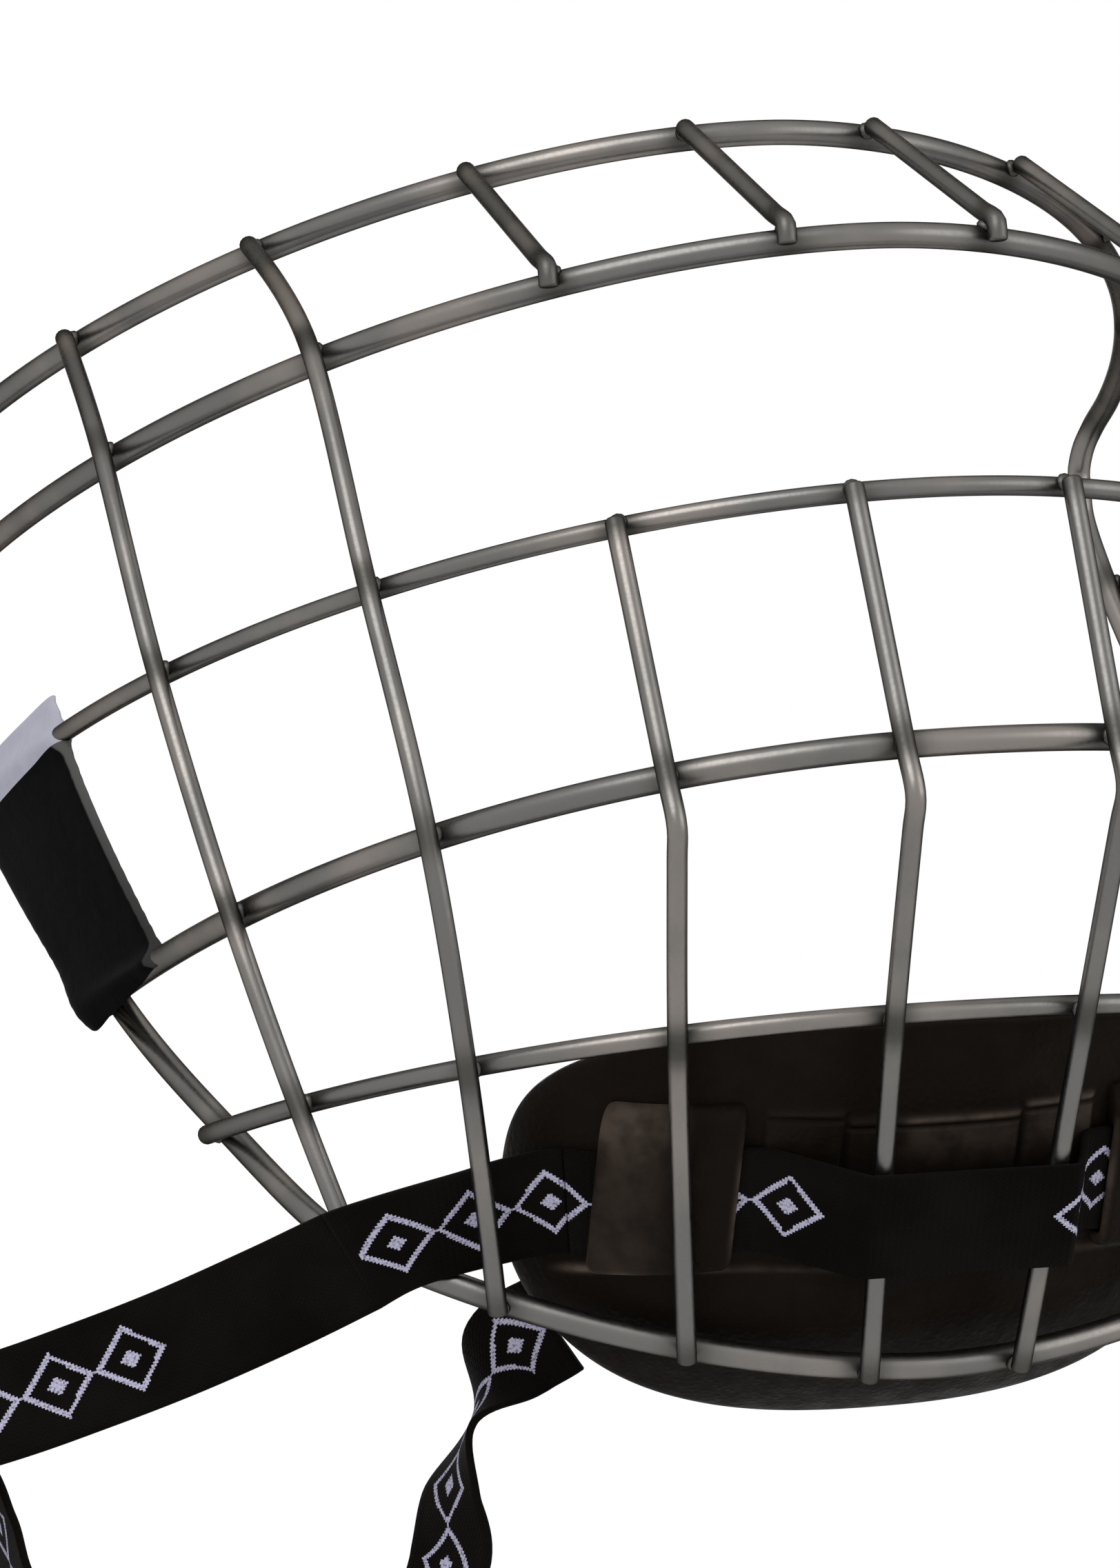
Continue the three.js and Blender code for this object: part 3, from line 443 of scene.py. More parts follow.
def closed_shell(rings, values=None):
    """Closed shell from rings of points where the last ring joins the first again."""
    rows, columns = rings.shape[:2]
    count = rows * columns
    faces = [tuple(f) for f in ring_faces(rows + 1, columns) % count]
    extra = None if values is None else values.reshape(count, -1)
    return Shell(rings.reshape(count, 3), faces, extra)


def faced_out(shell):
    """The shell with its faces outwards: where the volume that they enclose is negative, they turn."""
    points = shell.points
    triangles = np.array([(f[0], f[k], f[k + 1]) for f in shell.faces for k in range(1, len(f) - 1)])
    a, b, c = points[triangles[:, 0]], points[triangles[:, 1]], points[triangles[:, 2]]
    if np.sum(a * np.cross(b, c)) < 0:
        return Shell(points, [tuple(reversed(f)) for f in shell.faces], shell.values)
    return shell


def make_piece(name, shells, finish, body, node=None):
    """A mesh object from closed shells in a finish, riding on a body and standing for a node."""
    points, faces, values = [], [], []
    for shell in map(faced_out, shells):
        start = sum(len(p) for p in points)
        points.append(shell.points)
        faces += [tuple(v + start for v in f) for f in shell.faces]
        values.append(shell.values)
    mesh = bpy.data.meshes.new(name)
    mesh.from_pydata(np.vstack(points).tolist(), [], faces)
    mesh.polygons.foreach_set("use_smooth", np.ones(len(mesh.polygons), bool))
    if FINISHES[finish].attribute:
        layer = mesh.attributes.new(FINISHES[finish].attribute, "FLOAT_VECTOR", "POINT")
        layer.data.foreach_set("vector", np.vstack(values).astype(np.float32).ravel())
    mesh.update()
    mesh.materials.append(material_of(finish))
    piece = bpy.data.objects.new(name, mesh)
    bpy.context.scene.collection.objects.link(piece)
    if body:
        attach(piece, body)
    if node:
        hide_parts(node)
    return piece


def tube_rings(path, radius, normal_hint, rounding=0.0):
    """A round tube: circles square to the path. Towards either end the radius falls as a quarter of an
    ellipse over the length of the rounding, to a flat of about three quarters of the radius."""
    total = arc_lengths(path)[-1]
    ends = rounding * np.array([0, 0.1, 0.3, 0.6, 1.0]) if rounding else np.zeros(1)
    middle = np.linspace(rounding, total - rounding, max(int(total / WIRE_STEP), 8))[1:-1]
    at = np.concatenate([ends, middle, (total - ends)[::-1]])
    centre = resample(path, path, at)
    along = tangents(resample(path, path, np.clip(at, 1e-6, total - 1e-6)))
    hint = np.broadcast_to(normal_hint, along.shape)
    first = unit(hint - along * dots(hint, along))
    second = np.cross(along, first)
    near = np.clip(np.minimum(at, total - at) / max(rounding, 1e-9), 0, 1)
    scale = WIRE_END_FLAT + (1 - WIRE_END_FLAT) * np.sqrt(1 - (1 - near) ** 2)
    turn = full_turn(WIRE_SIDES)
    circle = np.cos(turn)[None, :, None] * first[:, None] + np.sin(turn)[None, :, None] * second[:, None]
    return centre[:, None] + radius * scale[:, None, None] * circle


# Cage geometry


def bar_point(bar, angle):
    """Point on a bar's centre line: across is the sine of the angle and back is one less its cosine, each
    to the power two over the exponent; past a quarter turn the bar runs straight on."""
    angle = np.asarray(angle, float)
    bent = np.minimum(np.abs(angle), math.pi / 2)
    tail = np.abs(angle) - bent
    power = 2 / bar.square
    x = bar.half_width * np.sin(bent) ** power * np.where(angle < 0, -1, 1)
    back = bar.depth * (1 - np.clip(np.cos(bent), 0, 1) ** power + tail)
    return np.stack([x, back - bar.forward, bar.slope * back - bar.drop], -1)


def spread_angle(bar, index, side):
    """Angle round a bar at which an upright crosses it."""
    return side * math.asin(bar.spread[index] ** (bar.square / 2))


def bar_tangent(bar, angle):
    return unit(bar_point(bar, angle + TANGENT_SHARE) - bar_point(bar, angle - TANGENT_SHARE))


def angle_for_length(bar, angle, length):
    speed = np.linalg.norm(bar_point(bar, angle + TANGENT_SHARE) - bar_point(bar, angle)) / TANGENT_SHARE
    return length / speed


def outward(bar, angle, along):
    """Direction out of the cage at a bar point, square to the bar and to the wire that crosses it."""
    normal = unit(np.cross(bar_tangent(bar, angle), along))
    point = bar_point(bar, angle)
    outside = normal[0] * point[0] - normal[1] * bar.half_width
    return -normal if outside < 0 else normal


def wire_of(bar):
    wires = sizes()[0]
    return wires.heavy if bar.heavy else wires.light


def beyond(start, end, length):
    return end + unit(end - start) * length


def temple_end(side):
    last = bar_point(BARS["top_bar"], side * math.radians(TOP_END_DEGREES))
    heel = last + np.array([0, TEMPLE["reach"], TEMPLE["straight"] - TEMPLE["drop"]])
    return heel, heel - UP * TEMPLE["straight"]


def bar_path(name):
    """Centre line of a cross bar from the wearer's right to the left."""
    bar = BARS[name]
    if name == "top_bar":
        (left_heel, left_foot), (right_heel, right_foot) = temple_end(1), temple_end(-1)
        knee = np.array([0, TEMPLE["reach"] * KNEE_SHARES[0], -TEMPLE["drop"] * KNEE_SHARES[1]])
        arc = bar_point(bar, np.linspace(-1, 1, 31) * math.radians(TOP_END_DEGREES))
        route = [right_foot, right_heel, arc[0] + knee, *arc, arc[-1] + knee, left_heel, left_foot]
        return smooth_path(route)
    angle = math.radians(LAP_DEGREES.get(name, CHIN_END_DEGREES))
    overhang = LAP_OVERHANG if name in LAP_DEGREES else 0
    end = angle + angle_for_length(bar, angle, overhang)
    return bar_point(bar, end * np.linspace(-1, 1, 361))


def lap_point(name, side, along):
    """Centre of the side wire where it passes inside a bar."""
    bar = BARS[name]
    angle = side * math.radians(LAP_DEGREES[name])
    offset = (sizes()[0].heavy + wire_of(bar)) / 2 + WELD_GAP
    return bar_point(bar, angle) - outward(bar, angle, along) * offset


def side_slant(side):
    eye, nose = (
        bar_point(BARS[name], side * math.radians(LAP_DEGREES[name])) for name in ("eye_bar", "nose_bar")
    )
    return unit(nose - eye)


def side_path(side):
    """Centre line of a side wire from the temple to the chin bar."""
    chin = BARS["chin_bar"]
    temple = temple_end(side)[1] - UP * BUTT_GAP
    jaw = math.radians(CHIN_END_DEGREES)
    start = jaw + angle_for_length(chin, jaw, BUTT_GAP)
    corner = math.radians(JAW_CORNER_DEGREES)
    slant = side_slant(side)
    route = [temple, temple - UP * TEMPLE["straight"]]
    route += [lap_point(name, side, slant) for name in LAP_DEGREES]
    route += [bar_point(chin, side * angle) for angle in (corner, (start + corner) / 2, start)]
    return smooth_path(route)


def crossing(bar, index, side, along):
    """Centre of an upright where it crosses outside a bar."""
    angle = spread_angle(bar, index, side)
    offset = (wire_of(bar) + sizes()[0].light) / 2 + WELD_GAP
    return bar_point(bar, angle) + outward(bar, angle, along) * offset


def crossings(names, index, side):
    """Crossings of an upright with the named bars; its upper end leans on the front of the top bar."""
    bars = [BARS[name] for name in names]
    centres = [bar_point(bar, spread_angle(bar, index, side)) for bar in bars]
    last = len(bars) - 1
    along = [unit(centres[min(i + 1, last)] - centres[max(i - 1, 0)]) for i in range(len(bars))]
    if names[0] == "top_bar":
        along[0] = unit(along[0] * (1 - TOP_LEAN_SHARE) - UP * TOP_LEAN_SHARE)
    return [crossing(bar, index, side, way) for bar, way in zip(bars, along)]


def long_upright_path(index, side):
    hits = crossings(ALL_BARS, index, side)
    return smooth_path(
        [beyond(hits[1], hits[0], END_OVERHANG), *hits, beyond(hits[4], hits[5], END_OVERHANG)]
    )


def low_upright_path(index, side):
    eye, nose, mouth, chin = crossings(LOW_BARS, index, side)
    bend = beyond(eye, nose, NOSE_BEND_DROP)
    after = bend + (mouth - bend) * NOSE_BEND_SHARE
    return smooth_path([eye, nose, bend, after, mouth, chin, beyond(mouth, chin, END_OVERHANG)])


def brow_upright_path(index, side):
    top = crossings(ALL_BARS[:2], index, side)[0]
    foot = crossing(BARS["brow_bar"], index, side, -UP)
    elbow = foot + UP * BROW_ELBOW
    knee = top + (elbow - top) * BROW_KNEE_SHARE
    return smooth_path([beyond(elbow, top, END_OVERHANG), top, knee, elbow, foot, foot - UP * BROW_FOOT])


UPRIGHTS = (
    ("outer_upright", long_upright_path, 3, ALL_BARS),
    ("cheek_upright", long_upright_path, 2, ALL_BARS),
    ("brow_upright_outer", brow_upright_path, 1, ALL_BARS[:2]),
    ("brow_upright_inner", brow_upright_path, 0, ALL_BARS[:2]),
    ("lower_upright_outer", low_upright_path, 1, LOW_BARS),
    ("lower_upright_inner", low_upright_path, 0, LOW_BARS),
)


def wire_table():
    """Every wire: its name, centre line, diameter and a direction that its line never follows."""
    wires = sizes()[0]
    rows = []
    for name, bar in BARS.items():
        rows.append((name, bar_path(name), wire_of(bar), TEMPLE_HINT if name == "top_bar" else UP))
    for word, side in SIDES:
        rows.append((f"{word}_side_wire", side_path(side), wires.heavy, np.array([side, 0.8, -1.0])))
        for kind, path, index, _ in UPRIGHTS:
            rows.append((f"{word}_{kind}", path(index, side), wires.light, ACROSS))
    return rows


def weld_table():
    """Every weld of a wire on a bar: its place, the bar's direction and the way from it to the wire."""
    rows = []
    for _, side in SIDES:
        meets = [
            (BARS[name], spread_angle(BARS[name], index, side), hit)
            for _, _, index, names in UPRIGHTS
            for name, hit in zip(names, crossings(names, index, side))
        ]
        for name, lap in LAP_DEGREES.items():
            meets.append((BARS[name], side * math.radians(lap), lap_point(name, side, side_slant(side))))
        for bar, angle, hit in meets:
            middle = bar_point(bar, angle)
            out = unit(hit - middle)
            rows.append((middle + out * (wire_of(bar) + WELD_GAP) / 2, bar_tangent(bar, angle), out))
    return rows


# Chin cup geometry


def cup_axes():
    """Middle, up direction and inward direction of the cup, from the two middle uprights."""
    hits = [point * np.array([0, 1, 1]) for point in crossings(LOW_BARS, 0, 1)]
    up = unit(hits[2] - hits[3])
    inward = unit(np.cross(up, ACROSS))
    middle = (hits[2] + hits[3]) / 2 + inward * sizes()[0].light / 2
    middle[0] = CUP_SHIFT
    return middle, up, inward


def cup_place(x, height, depth):
    middle, up, inward = cup_axes()
    x, height, depth = spaced(x, height, depth)
    return middle + ACROSS * x + up * height + inward * depth


def cup_depth(x, height):
    """Depth of the cup's outer face: a superellipse across, and a quarter circle where its foot curls."""
    side = (1 - np.minimum(np.abs(x) / BOWL_HALF_WIDTH, 1) ** BOWL_SHARE) ** (1 / BOWL_SHARE)
    below = np.clip((-height - CURL_START) / CURL_HEIGHT, 0, 1)
    crown = WELD_GAP + sizes()[0].heavy + CUP_GAP
    return crown + BOWL_DEPTH * (1 - side) + CURL_DEPTH * (1 - np.sqrt(1 - below**2))


def cup_surface(x, height, lift):
    """A point above the cup's outer face, square to it; a negative lift lies inside the bowl."""
    x, height, step = np.asarray(x, float), np.asarray(height, float), SLOPE_STEP
    slope_x = (cup_depth(x + step, height) - cup_depth(x - step, height)) / (2 * step)
    slope_up = (cup_depth(x, height + step) - cup_depth(x, height - step)) / (2 * step)
    scale = lift / np.sqrt(1 + slope_x**2 + slope_up**2)
    return cup_place(x + slope_x * scale, height + slope_up * scale, cup_depth(x, height) - scale)


def rim_place(turn, share):
    """Place on the rim's outline, a superellipse that is squarer above its middle than below it."""
    power = 2 / np.where(np.sin(turn) > 0, *RIM_SHARES)
    x = CUP_HALF[0] * share * squared_off(np.cos(turn), power)
    return x, CUP_HALF[1] * share * squared_off(np.sin(turn), power) - CUP_DROP


def strap_height(x):
    share = (np.abs(x) - LOOP_SPAN[0]) / (LOOP_SPAN[1] - LOOP_SPAN[0])
    return -STRAP_DROP - STRAP_DROOP * np.maximum(share, 0)


# Webbing geometry


def strap_rise():
    return STRAP_GAP + sizes()[2].thickness / 2


def over_cup(x):
    return cup_surface(x, strap_height(np.asarray(x, float)), strap_rise())


def exit_point(side):
    return over_cup(side * (LOOP_SPAN[1] + TUNNEL_EXIT))


def exit_direction(side):
    return unit(exit_point(side) - over_cup(side * LOOP_SPAN[1]))


def jaw_corner(side):
    _, mouth, chin = crossings(("nose_bar", "mouth_bar", "chin_bar"), 3, side)
    foot = beyond(mouth, chin, END_OVERHANG + JAW_DROP)
    bar = BARS["chin_bar"]
    out = outward(bar, spread_angle(bar, 3, side), unit(foot - mouth))
    return foot + out * (sizes()[0].light / 2 + JAW_PASS)


def loop_place(side, shares):
    out, back, low = (np.asarray(shares, float) * LOOP_SIZE).tolist()
    return jaw_corner(side) + np.array([side * out, back, -low])


def jaw_direction(side):
    return unit(loop_place(side, UPPER_RUN[1]) - jaw_corner(side))


def tab_axes(side):
    """Middle of the tab's bar, the way in along the webbing, the way across it and its outer face."""
    centre = loop_place(side, TAB_SHARES)
    inward = unit(loop_place(side, LEG_SHARES) - centre)
    across = unit(UP - inward * inward[2])
    face = np.cross(inward, across)
    return centre, inward, across, -face if face[1] > 0 else face


def turn_radius():
    return TAB["bar"] / math.sqrt(2) + TURN_GAP + sizes()[2].thickness / 2


def eased(start, leave, end, arrive):
    """Cubic between two points; its slopes at both are given as shares of the distance between them."""
    s = np.linspace(0, 1, 32)[:, None]
    length = np.linalg.norm(end - start)
    return (
        (2 * s**3 - 3 * s**2 + 1) * start + (s**3 - 2 * s**2 + s) * leave * length
        + (3 * s**2 - 2 * s**3) * end + (s**3 - s**2) * arrive * length
    )


def front_path():
    """The front webbing from the exit on the wearer's right to the left one: over the cup in the loops,
    and between them on a curve that passes before the middle uprights."""
    light, thick = sizes()[0].light, sizes()[2].thickness
    _, _, mouth, chin = crossings(LOW_BARS, 0, 1)
    edge = abs((mouth[0] + chin[0]) / 2 + light / 2) + strap_rise()
    runs = []
    for side in (-1, 1):
        hidden = over_cup(side * np.linspace(LOOP_SPAN[1] + TUNNEL_EXIT, LOOP_SPAN[0] - SLOT_RUN, 40))
        bend = cup_place(side * edge - CUP_SHIFT, -STRAP_DROP, -light - WELD_GAP - thick / 2)
        slope = unit(hidden[-1] - hidden[-2])
        run = eased(hidden[-1], slope * FRONT_EASE[0], bend, -side * ACROSS * FRONT_EASE[1])
        runs.append(np.vstack([hidden, run[1:]]))
    return np.vstack([runs[0], runs[1][::-1]])


def root_path(side):
    """The webbing from a loop's exit, behind the cheek upright and out to the jaw corner."""
    _, up, _ = cup_axes()
    mouth, chin = crossings(ALL_BARS, 2, side)[4:]
    bar = BARS["chin_bar"]
    out = outward(bar, spread_angle(bar, 2, side), unit(chin - mouth))
    share = np.dot(mouth - cup_place(0.0, -CHEEK_PASS[1], 0.0), up) / np.dot(mouth - chin, up)
    cheek = mouth + (chin - mouth) * share - out * (sizes()[0].light / 2 + strap_rise() + CHEEK_PASS[0])
    along, leave = exit_direction(side), jaw_direction(side)
    start, end = exit_point(side) + along * JOIN_GAP, jaw_corner(side)
    first, middle, last = ROOT_EASE
    way = unit(end - start) * middle
    return np.vstack([eased(start, along * first, cheek, way), eased(cheek, way, end, leave * last)[1:]])


def weave_start(side, past_root=False):
    """Place in the motif where the webbing leaves the loop of a side, or where it passes the jaw."""
    at = MOTIF["start"] + (arc_lengths(front_path())[-1] if side > 0 else 0)
    return at + side * arc_lengths(root_path(side))[-1] * past_root


def band_section():
    """Section of the webbing, from -1 to 1 across it and through it: two faces that sink a little
    between the ribs of the selvedge, and two round edges."""
    flat = np.linspace(-1, 1, 15)
    face = (1 - 0.10 * np.cos(math.pi * flat) ** 2 * (np.abs(flat) < 0.9)) * 0.82
    edge = np.array([0.35, -0.35]) * 0.8
    wide = np.concatenate([flat, [1.0, 1.0], flat[::-1], [-1.0, -1.0]])
    through = np.concatenate([face, edge, -face[::-1], -edge])
    return wide * np.where(np.abs(through) > 0.7, 0.985, 1.0), through


def band_rings(path, across, join, weave_at=0.0, pace=1):
    """Flat webbing: its section carried along a path, with the directions at the joins given. Each point
    keeps its place along the weave, its place across and the face it is on."""
    webbing = sizes()[2]
    total = arc_lengths(path)[-1]
    at = np.linspace(0, total, max(int(total / BAND_STEP), 12))
    centre = resample(path, path, at)
    wide_hint = resample(path, across, at)
    along = tangents(centre)
    for end, direction in join.items():
        along[end] = direction
    wide = unit(wide_hint - along * dots(wide_hint, along))
    normal = np.cross(along, wide)
    w, t = band_section()
    w = w * (webbing.width / 2)
    rings = (
        centre[:, None]
        + wide[:, None] * w[None, :, None]
        + normal[:, None] * (t * (webbing.thickness / 2))[None, :, None]
    )
    rows = np.broadcast_arrays((weave_at + pace * at)[:, None], w[None], np.sign(t)[None])
    return rings, np.stack(rows, -1)


def push_clear(rings, obstacles, gap=CLEAR_GAP):
    """Moves each point out of the wires: where it is nearer to a wire's centre line than the radius and
    the gap, it goes straight out to that distance. Only the wire near the rings is measured."""
    points = rings.reshape(-1, 3).copy()
    for path, diameter in obstacles:
        fine = resample(path, path, np.arange(0, arc_lengths(path)[-1], 0.5 * MM))
        near = fine[np.min(np.linalg.norm(fine[:, None] - points[None, ::7], axis=2), axis=1) < 20 * MM]
        if not len(near):
            continue
        apart = np.linalg.norm(points[:, None] - near[None], axis=2)
        nearest = near[np.argmin(apart, axis=1)]
        away = points - nearest
        distance = np.linalg.norm(away, axis=1, keepdims=True)
        limit = diameter / 2 + gap
        points = np.where(distance < limit, nearest + away / np.maximum(distance, 1e-9) * limit, points)
    return points.reshape(rings.shape)


# Materials


class Nodes:
    """A material's nodes, made one after the other."""

    def __init__(self, name):
        self.material = bpy.data.materials.new(name)
        self.material.use_nodes = True
        self.tree = self.material.node_tree
        self.tree.nodes.clear()
        output = self.tree.nodes.new("ShaderNodeOutputMaterial")
        self.shader = self.tree.nodes.new("ShaderNodeBsdfPrincipled")
        self.tree.links.new(self.shader.outputs[0], output.inputs[0])
        self.place = self.add("TexCoord", {}, "Object")

    def wire(self, value, socket):
        """A number or a colour goes onto the socket itself, anything else is linked to it."""
        if isinstance(value, (int, float)):
            socket.default_value = value
        elif hasattr(value, "__len__"):
            socket.default_value = (*value, 1.0)
        else:
            self.tree.links.new(value, socket)

    def add(self, kind, inputs, output=0, **settings):
        node = self.tree.nodes.new("ShaderNode" + kind)
        for name, value in settings.items():
            setattr(node, name, value)
        for key, value in inputs.items():
            self.wire(value, node.inputs[key])
        return node.outputs[output]

    def set(self, **values):
        for name, value in values.items():
            self.wire(value, self.shader.inputs[name.replace("_", " ").title().replace("Ior", "IOR")])

    def attribute(self, name):
        vector = self.add("Attribute", {}, "Vector", attribute_name=name)
        return vector, self.add("SeparateXYZ", {0: vector}).node.outputs

    def math(self, operation, *values):
        return self.add("Math", dict(enumerate(values)), operation=operation)

    def times(self, first, second):
        return self.math("MULTIPLY", first, second)

    def plus(self, first, second):
        return self.math("ADD", first, second)

    def noise(self, vector, scale, detail=3.0, rough=0.5):
        return self.add(
            "TexNoise", {"Vector": vector, "Scale": scale, "Detail": detail, "Roughness": rough}, "Fac"
        )

    def cells(self, scale):
        return self.add("TexVoronoi", {"Vector": self.place, "Scale": scale}, "Distance")

    def ramp(self, value, low, high, to_low=0.0, to_high=1.0):
        rows = (value, low, high, to_low, to_high)
        return self.add("MapRange", dict(enumerate(rows)), interpolation_type="SMOOTHSTEP")

    def mix(self, share, first, second):
        return self.add("Mix", {0: share, 6: first, 7: second}, 2, data_type="RGBA")

    def bump(self, height, distance, strength):
        self.set(normal=self.add("Bump", {"Distance": distance, "Strength": strength, "Height": height}))


def scaled(colour, share):
    return tuple(c * share for c in colour)


def steel_material():
    """Satin plating: cloudy tone, fine drawn grain and a duller, darker zone beside each weld."""
    wires = sizes()[0]
    n = Nodes("satin_steel")
    cloud = n.noise(n.place, 34.0, 4.0)
    grain = n.noise(n.place, 1800.0, 2.0)
    zone = n.attribute("weld_zone")[1][0]
    base = n.mix(n.ramp(cloud, 0.42, 0.68), wires.colour, wires.warm)
    rough = n.ramp(grain, 0.2, 0.8, wires.roughness - 0.05, wires.roughness + 0.06)
    n.set(
        metallic=1.0,
        specular_tint=wires.edge,
        base_color=n.mix(n.times(zone, n.ramp(cloud, 0.2, 0.7, 0.55, 1.0)), base, wires.dark),
        roughness=n.plus(rough, n.times(zone, 0.12)),
    )
    n.bump(grain, 0.00002, 0.5)
    return n.material


def cup_material():
    """Moulded satin plastic with a leather grain: small cells with soft valleys. The attribute paints a
    lighter brown highlight on the crests of ridges and loops, broken up by the grain."""
    cup = sizes()[1]
    n = Nodes("cup_grain")
    painted_highlight_share = n.attribute("painted_highlight_share")[1][0]
    warp = n.noise(n.place, 260.0, 2.0)
    fine = n.noise(n.place, 2600.0, 3.0)
    patches = n.noise(n.place, 46.0, 4.0, 0.6)
    # Painted highlight: the attribute's share of the lighter brown, broken up by the grain
    highlit = n.times(painted_highlight_share, n.ramp(warp, 0.25, 0.70, 0.35, 1.0))
    # Soft random patches of painted warm reflection, in the cup's lighter highlight brown
    clouded = n.times(n.ramp(patches, 0.50, 0.80), 0.05)
    n.set(
        specular_ior_level=0.045,
        base_color=n.mix(n.math("MAXIMUM", highlit, clouded), cup.colour, cup.painted_highlight),
        roughness=n.ramp(warp, 0.3, 0.7, 0.46, 0.60),
    )
    n.bump(n.plus(n.ramp(n.cells(950.0), 0.0, 0.7, 1.0, 0.0), n.times(fine, 0.35)), 0.00010, 0.6)
    return n.material


def foam_material():
    """Closed-cell foam: open pores of mixed size over a matt skin."""
    foam = sizes()[1].foam
    n = Nodes("pad_foam")
    tone = n.noise(n.place, 70.0)
    n.set(
        specular_ior_level=0.12,
        base_color=n.mix(n.ramp(tone, 0.3, 0.7), foam, scaled(foam, 1.7)),
        roughness=0.92,
    )
    pores, large = n.cells(1300.0), n.cells(420.0)
    n.bump(n.plus(n.ramp(pores, 0.0, 0.45), n.times(n.ramp(large, 0.0, 0.35), 0.6)), 0.00018, 0.8)
    return n.material


def woven_motif(n, along, across):
    """A chain of lozenges, stepped at the pitch of the weave: one is where the shares of its half length
    and half height add up to less than one. It shows as an outline and a solid heart."""
    count = n.math("DIVIDE", n.math("SNAP", along, YARN_STEPS[0]), MOTIF["period"])
    row = n.math("ABSOLUTE", n.math("SNAP", across, YARN_STEPS[1]))
    phase = n.math("ABSOLUTE", n.math("SUBTRACT", n.math("FRACT", count), 0.5))
    lozenge = n.plus(n.times(phase, 2.0), n.math("DIVIDE", row, MOTIF["half"]))
    outline = n.math("ABSOLUTE", n.math("SUBTRACT", lozenge, MOTIF["outline"]))
    stroke = n.math("LESS_THAN", outline, MOTIF["stroke"])
    heart = n.math("LESS_THAN", lozenge, MOTIF["heart"])
    drawn = n.math("MAXIMUM", stroke, heart)
    place = n.math("FLOORED_MODULO", n.math("FLOOR", count), MOTIF["turn"])
    return n.times(drawn, n.math("LESS_THAN", place, MOTIF["group"] - 0.5))


def webbing_material():
    """Woven nylon: rounded ribs across, warp lines along, and a motif in pale yarn that frays a little."""
    webbing = sizes()[2]
    n = Nodes("webbing_weave")
    weave, (along, across, _) = n.attribute("weave")
    speck = n.noise(weave, 2400.0, 1.0)
    yarn = n.times(woven_motif(n, along, across), n.ramp(speck, 0.30, 0.52, 0.35, 1.0))
    tone = n.noise(weave, 60.0)
    ground = n.mix(n.ramp(tone, 0.3, 0.7), webbing.colour, scaled(webbing.colour, 1.9))
    n.set(
        specular_ior_level=0.02,
        sheen_weight=0.010,
        sheen_roughness=0.5,
        base_color=n.mix(yarn, ground, webbing.motif),
        roughness=n.ramp(speck, 0.2, 0.8, 0.70, 0.88),
    )
    ways = zip((along, across), RIB_PITCHES)
    ribs, lines = (n.math("SINE", n.times(way, 2 * math.pi / pitch)) for way, pitch in ways)
    n.bump(n.plus(n.times(n.times(ribs, lines), 0.5), n.times(ribs, 0.25)), 0.00014, 0.8)
    return n.material


def sleeve_material():
    """Soft vinyl: satin black skin with fine creases, a pale top band, and a painted highlight along the
    front fold.
    The sleeve attribute holds the share of height, the share of length ahead and the depth in the wall."""
    sleeve = sizes()[3]
    n = Nodes("sleeve_vinyl")
    _, (height, ahead, _) = n.attribute("sleeve")
    crease = n.noise(n.place, 240.0, 5.0, 0.6)
    fine = n.noise(n.place, 1500.0, 2.0)
    skin = n.mix(n.ramp(crease, 0.4, 0.7), sleeve.colour, scaled(sleeve.colour, 2.0))
    # Painted highlight along the front fold, brighter towards the top
    fold_highlight = n.times(n.ramp(ahead, 0.972, 0.99), n.ramp(height, 0.0, 1.0, 0.35, 1.0))
    pale = n.mix(n.ramp(crease, 0.3, 0.7, 0.0, 0.35), sleeve.band, scaled(sleeve.band, 0.8))
    band = n.math("GREATER_THAN", height, sleeve.band_share)
    n.set(
        specular_ior_level=0.004,
        base_color=n.mix(band, n.mix(fold_highlight, skin, sleeve.fold_highlight), pale),
        roughness=n.ramp(crease, 0.3, 0.7, 0.44, 0.56),
    )
    n.bump(n.plus(crease, n.times(fine, 0.2)), 0.00022, 0.5)
    return n.material


def buckle_material():
    """Moulded black plastic with a fine spark-eroded texture."""
    n = Nodes("buckle_plastic")
    tone = n.noise(n.place, 150.0)
    n.set(
        specular_ior_level=0.3,
        base_color=n.mix(n.ramp(tone, 0.3, 0.7), (0.010, 0.010, 0.010), (0.020, 0.019, 0.018)),
        roughness=n.ramp(tone, 0.3, 0.7, 0.34, 0.46),
    )
    n.bump(n.noise(n.place, 3200.0, 2.0), 0.00004, 0.5)
    return n.material


def nickel_material():
    """Nickel plate with hairline polishing marks."""
    n = Nodes("socket_nickel")
    tone = n.noise(n.place, 500.0, 4.0)
    n.set(
        metallic=1.0,
        base_color=n.mix(n.ramp(tone, 0.3, 0.7), (0.62, 0.60, 0.56), (0.72, 0.70, 0.67)),
        roughness=n.ramp(n.noise(n.place, 2200.0, 2.0), 0.2, 0.8, 0.18, 0.30),
    )
    n.bump(tone, 0.00002, 0.4)
    return n.material


Finish = namedtuple("Finish", "make slot attribute")
FINISHES = {
    "steel": Finish(steel_material, "steel_wire", "weld_zone"),
    "cup": Finish(cup_material, "cup_plastic", "painted_highlight_share"),
    "foam": Finish(foam_material, "foam", None),
    "webbing": Finish(webbing_material, "webbing", "weave"),
    "sleeve": Finish(sleeve_material, "sleeve_vinyl", "sleeve"),
    "buckle": Finish(buckle_material, "buckle_plastic", None),
    "nickel": Finish(nickel_material, "socket_metal", None),
}
MATERIALS = {}


def material_of(finish):
    if finish not in MATERIALS:
        MATERIALS[finish] = FINISHES[finish].make()
    return MATERIALS[finish]


# Operators


def put(context, name, data, axes, place):
    """Links an object that stands at a place, with its own x, y and z directions."""
    item = bpy.data.objects.new(name, data)
    item.matrix_world = Matrix([*np.stack([*axes, place], 1).tolist(), [0, 0, 0, 1]])
    context.scene.collection.objects.link(item)
    return item


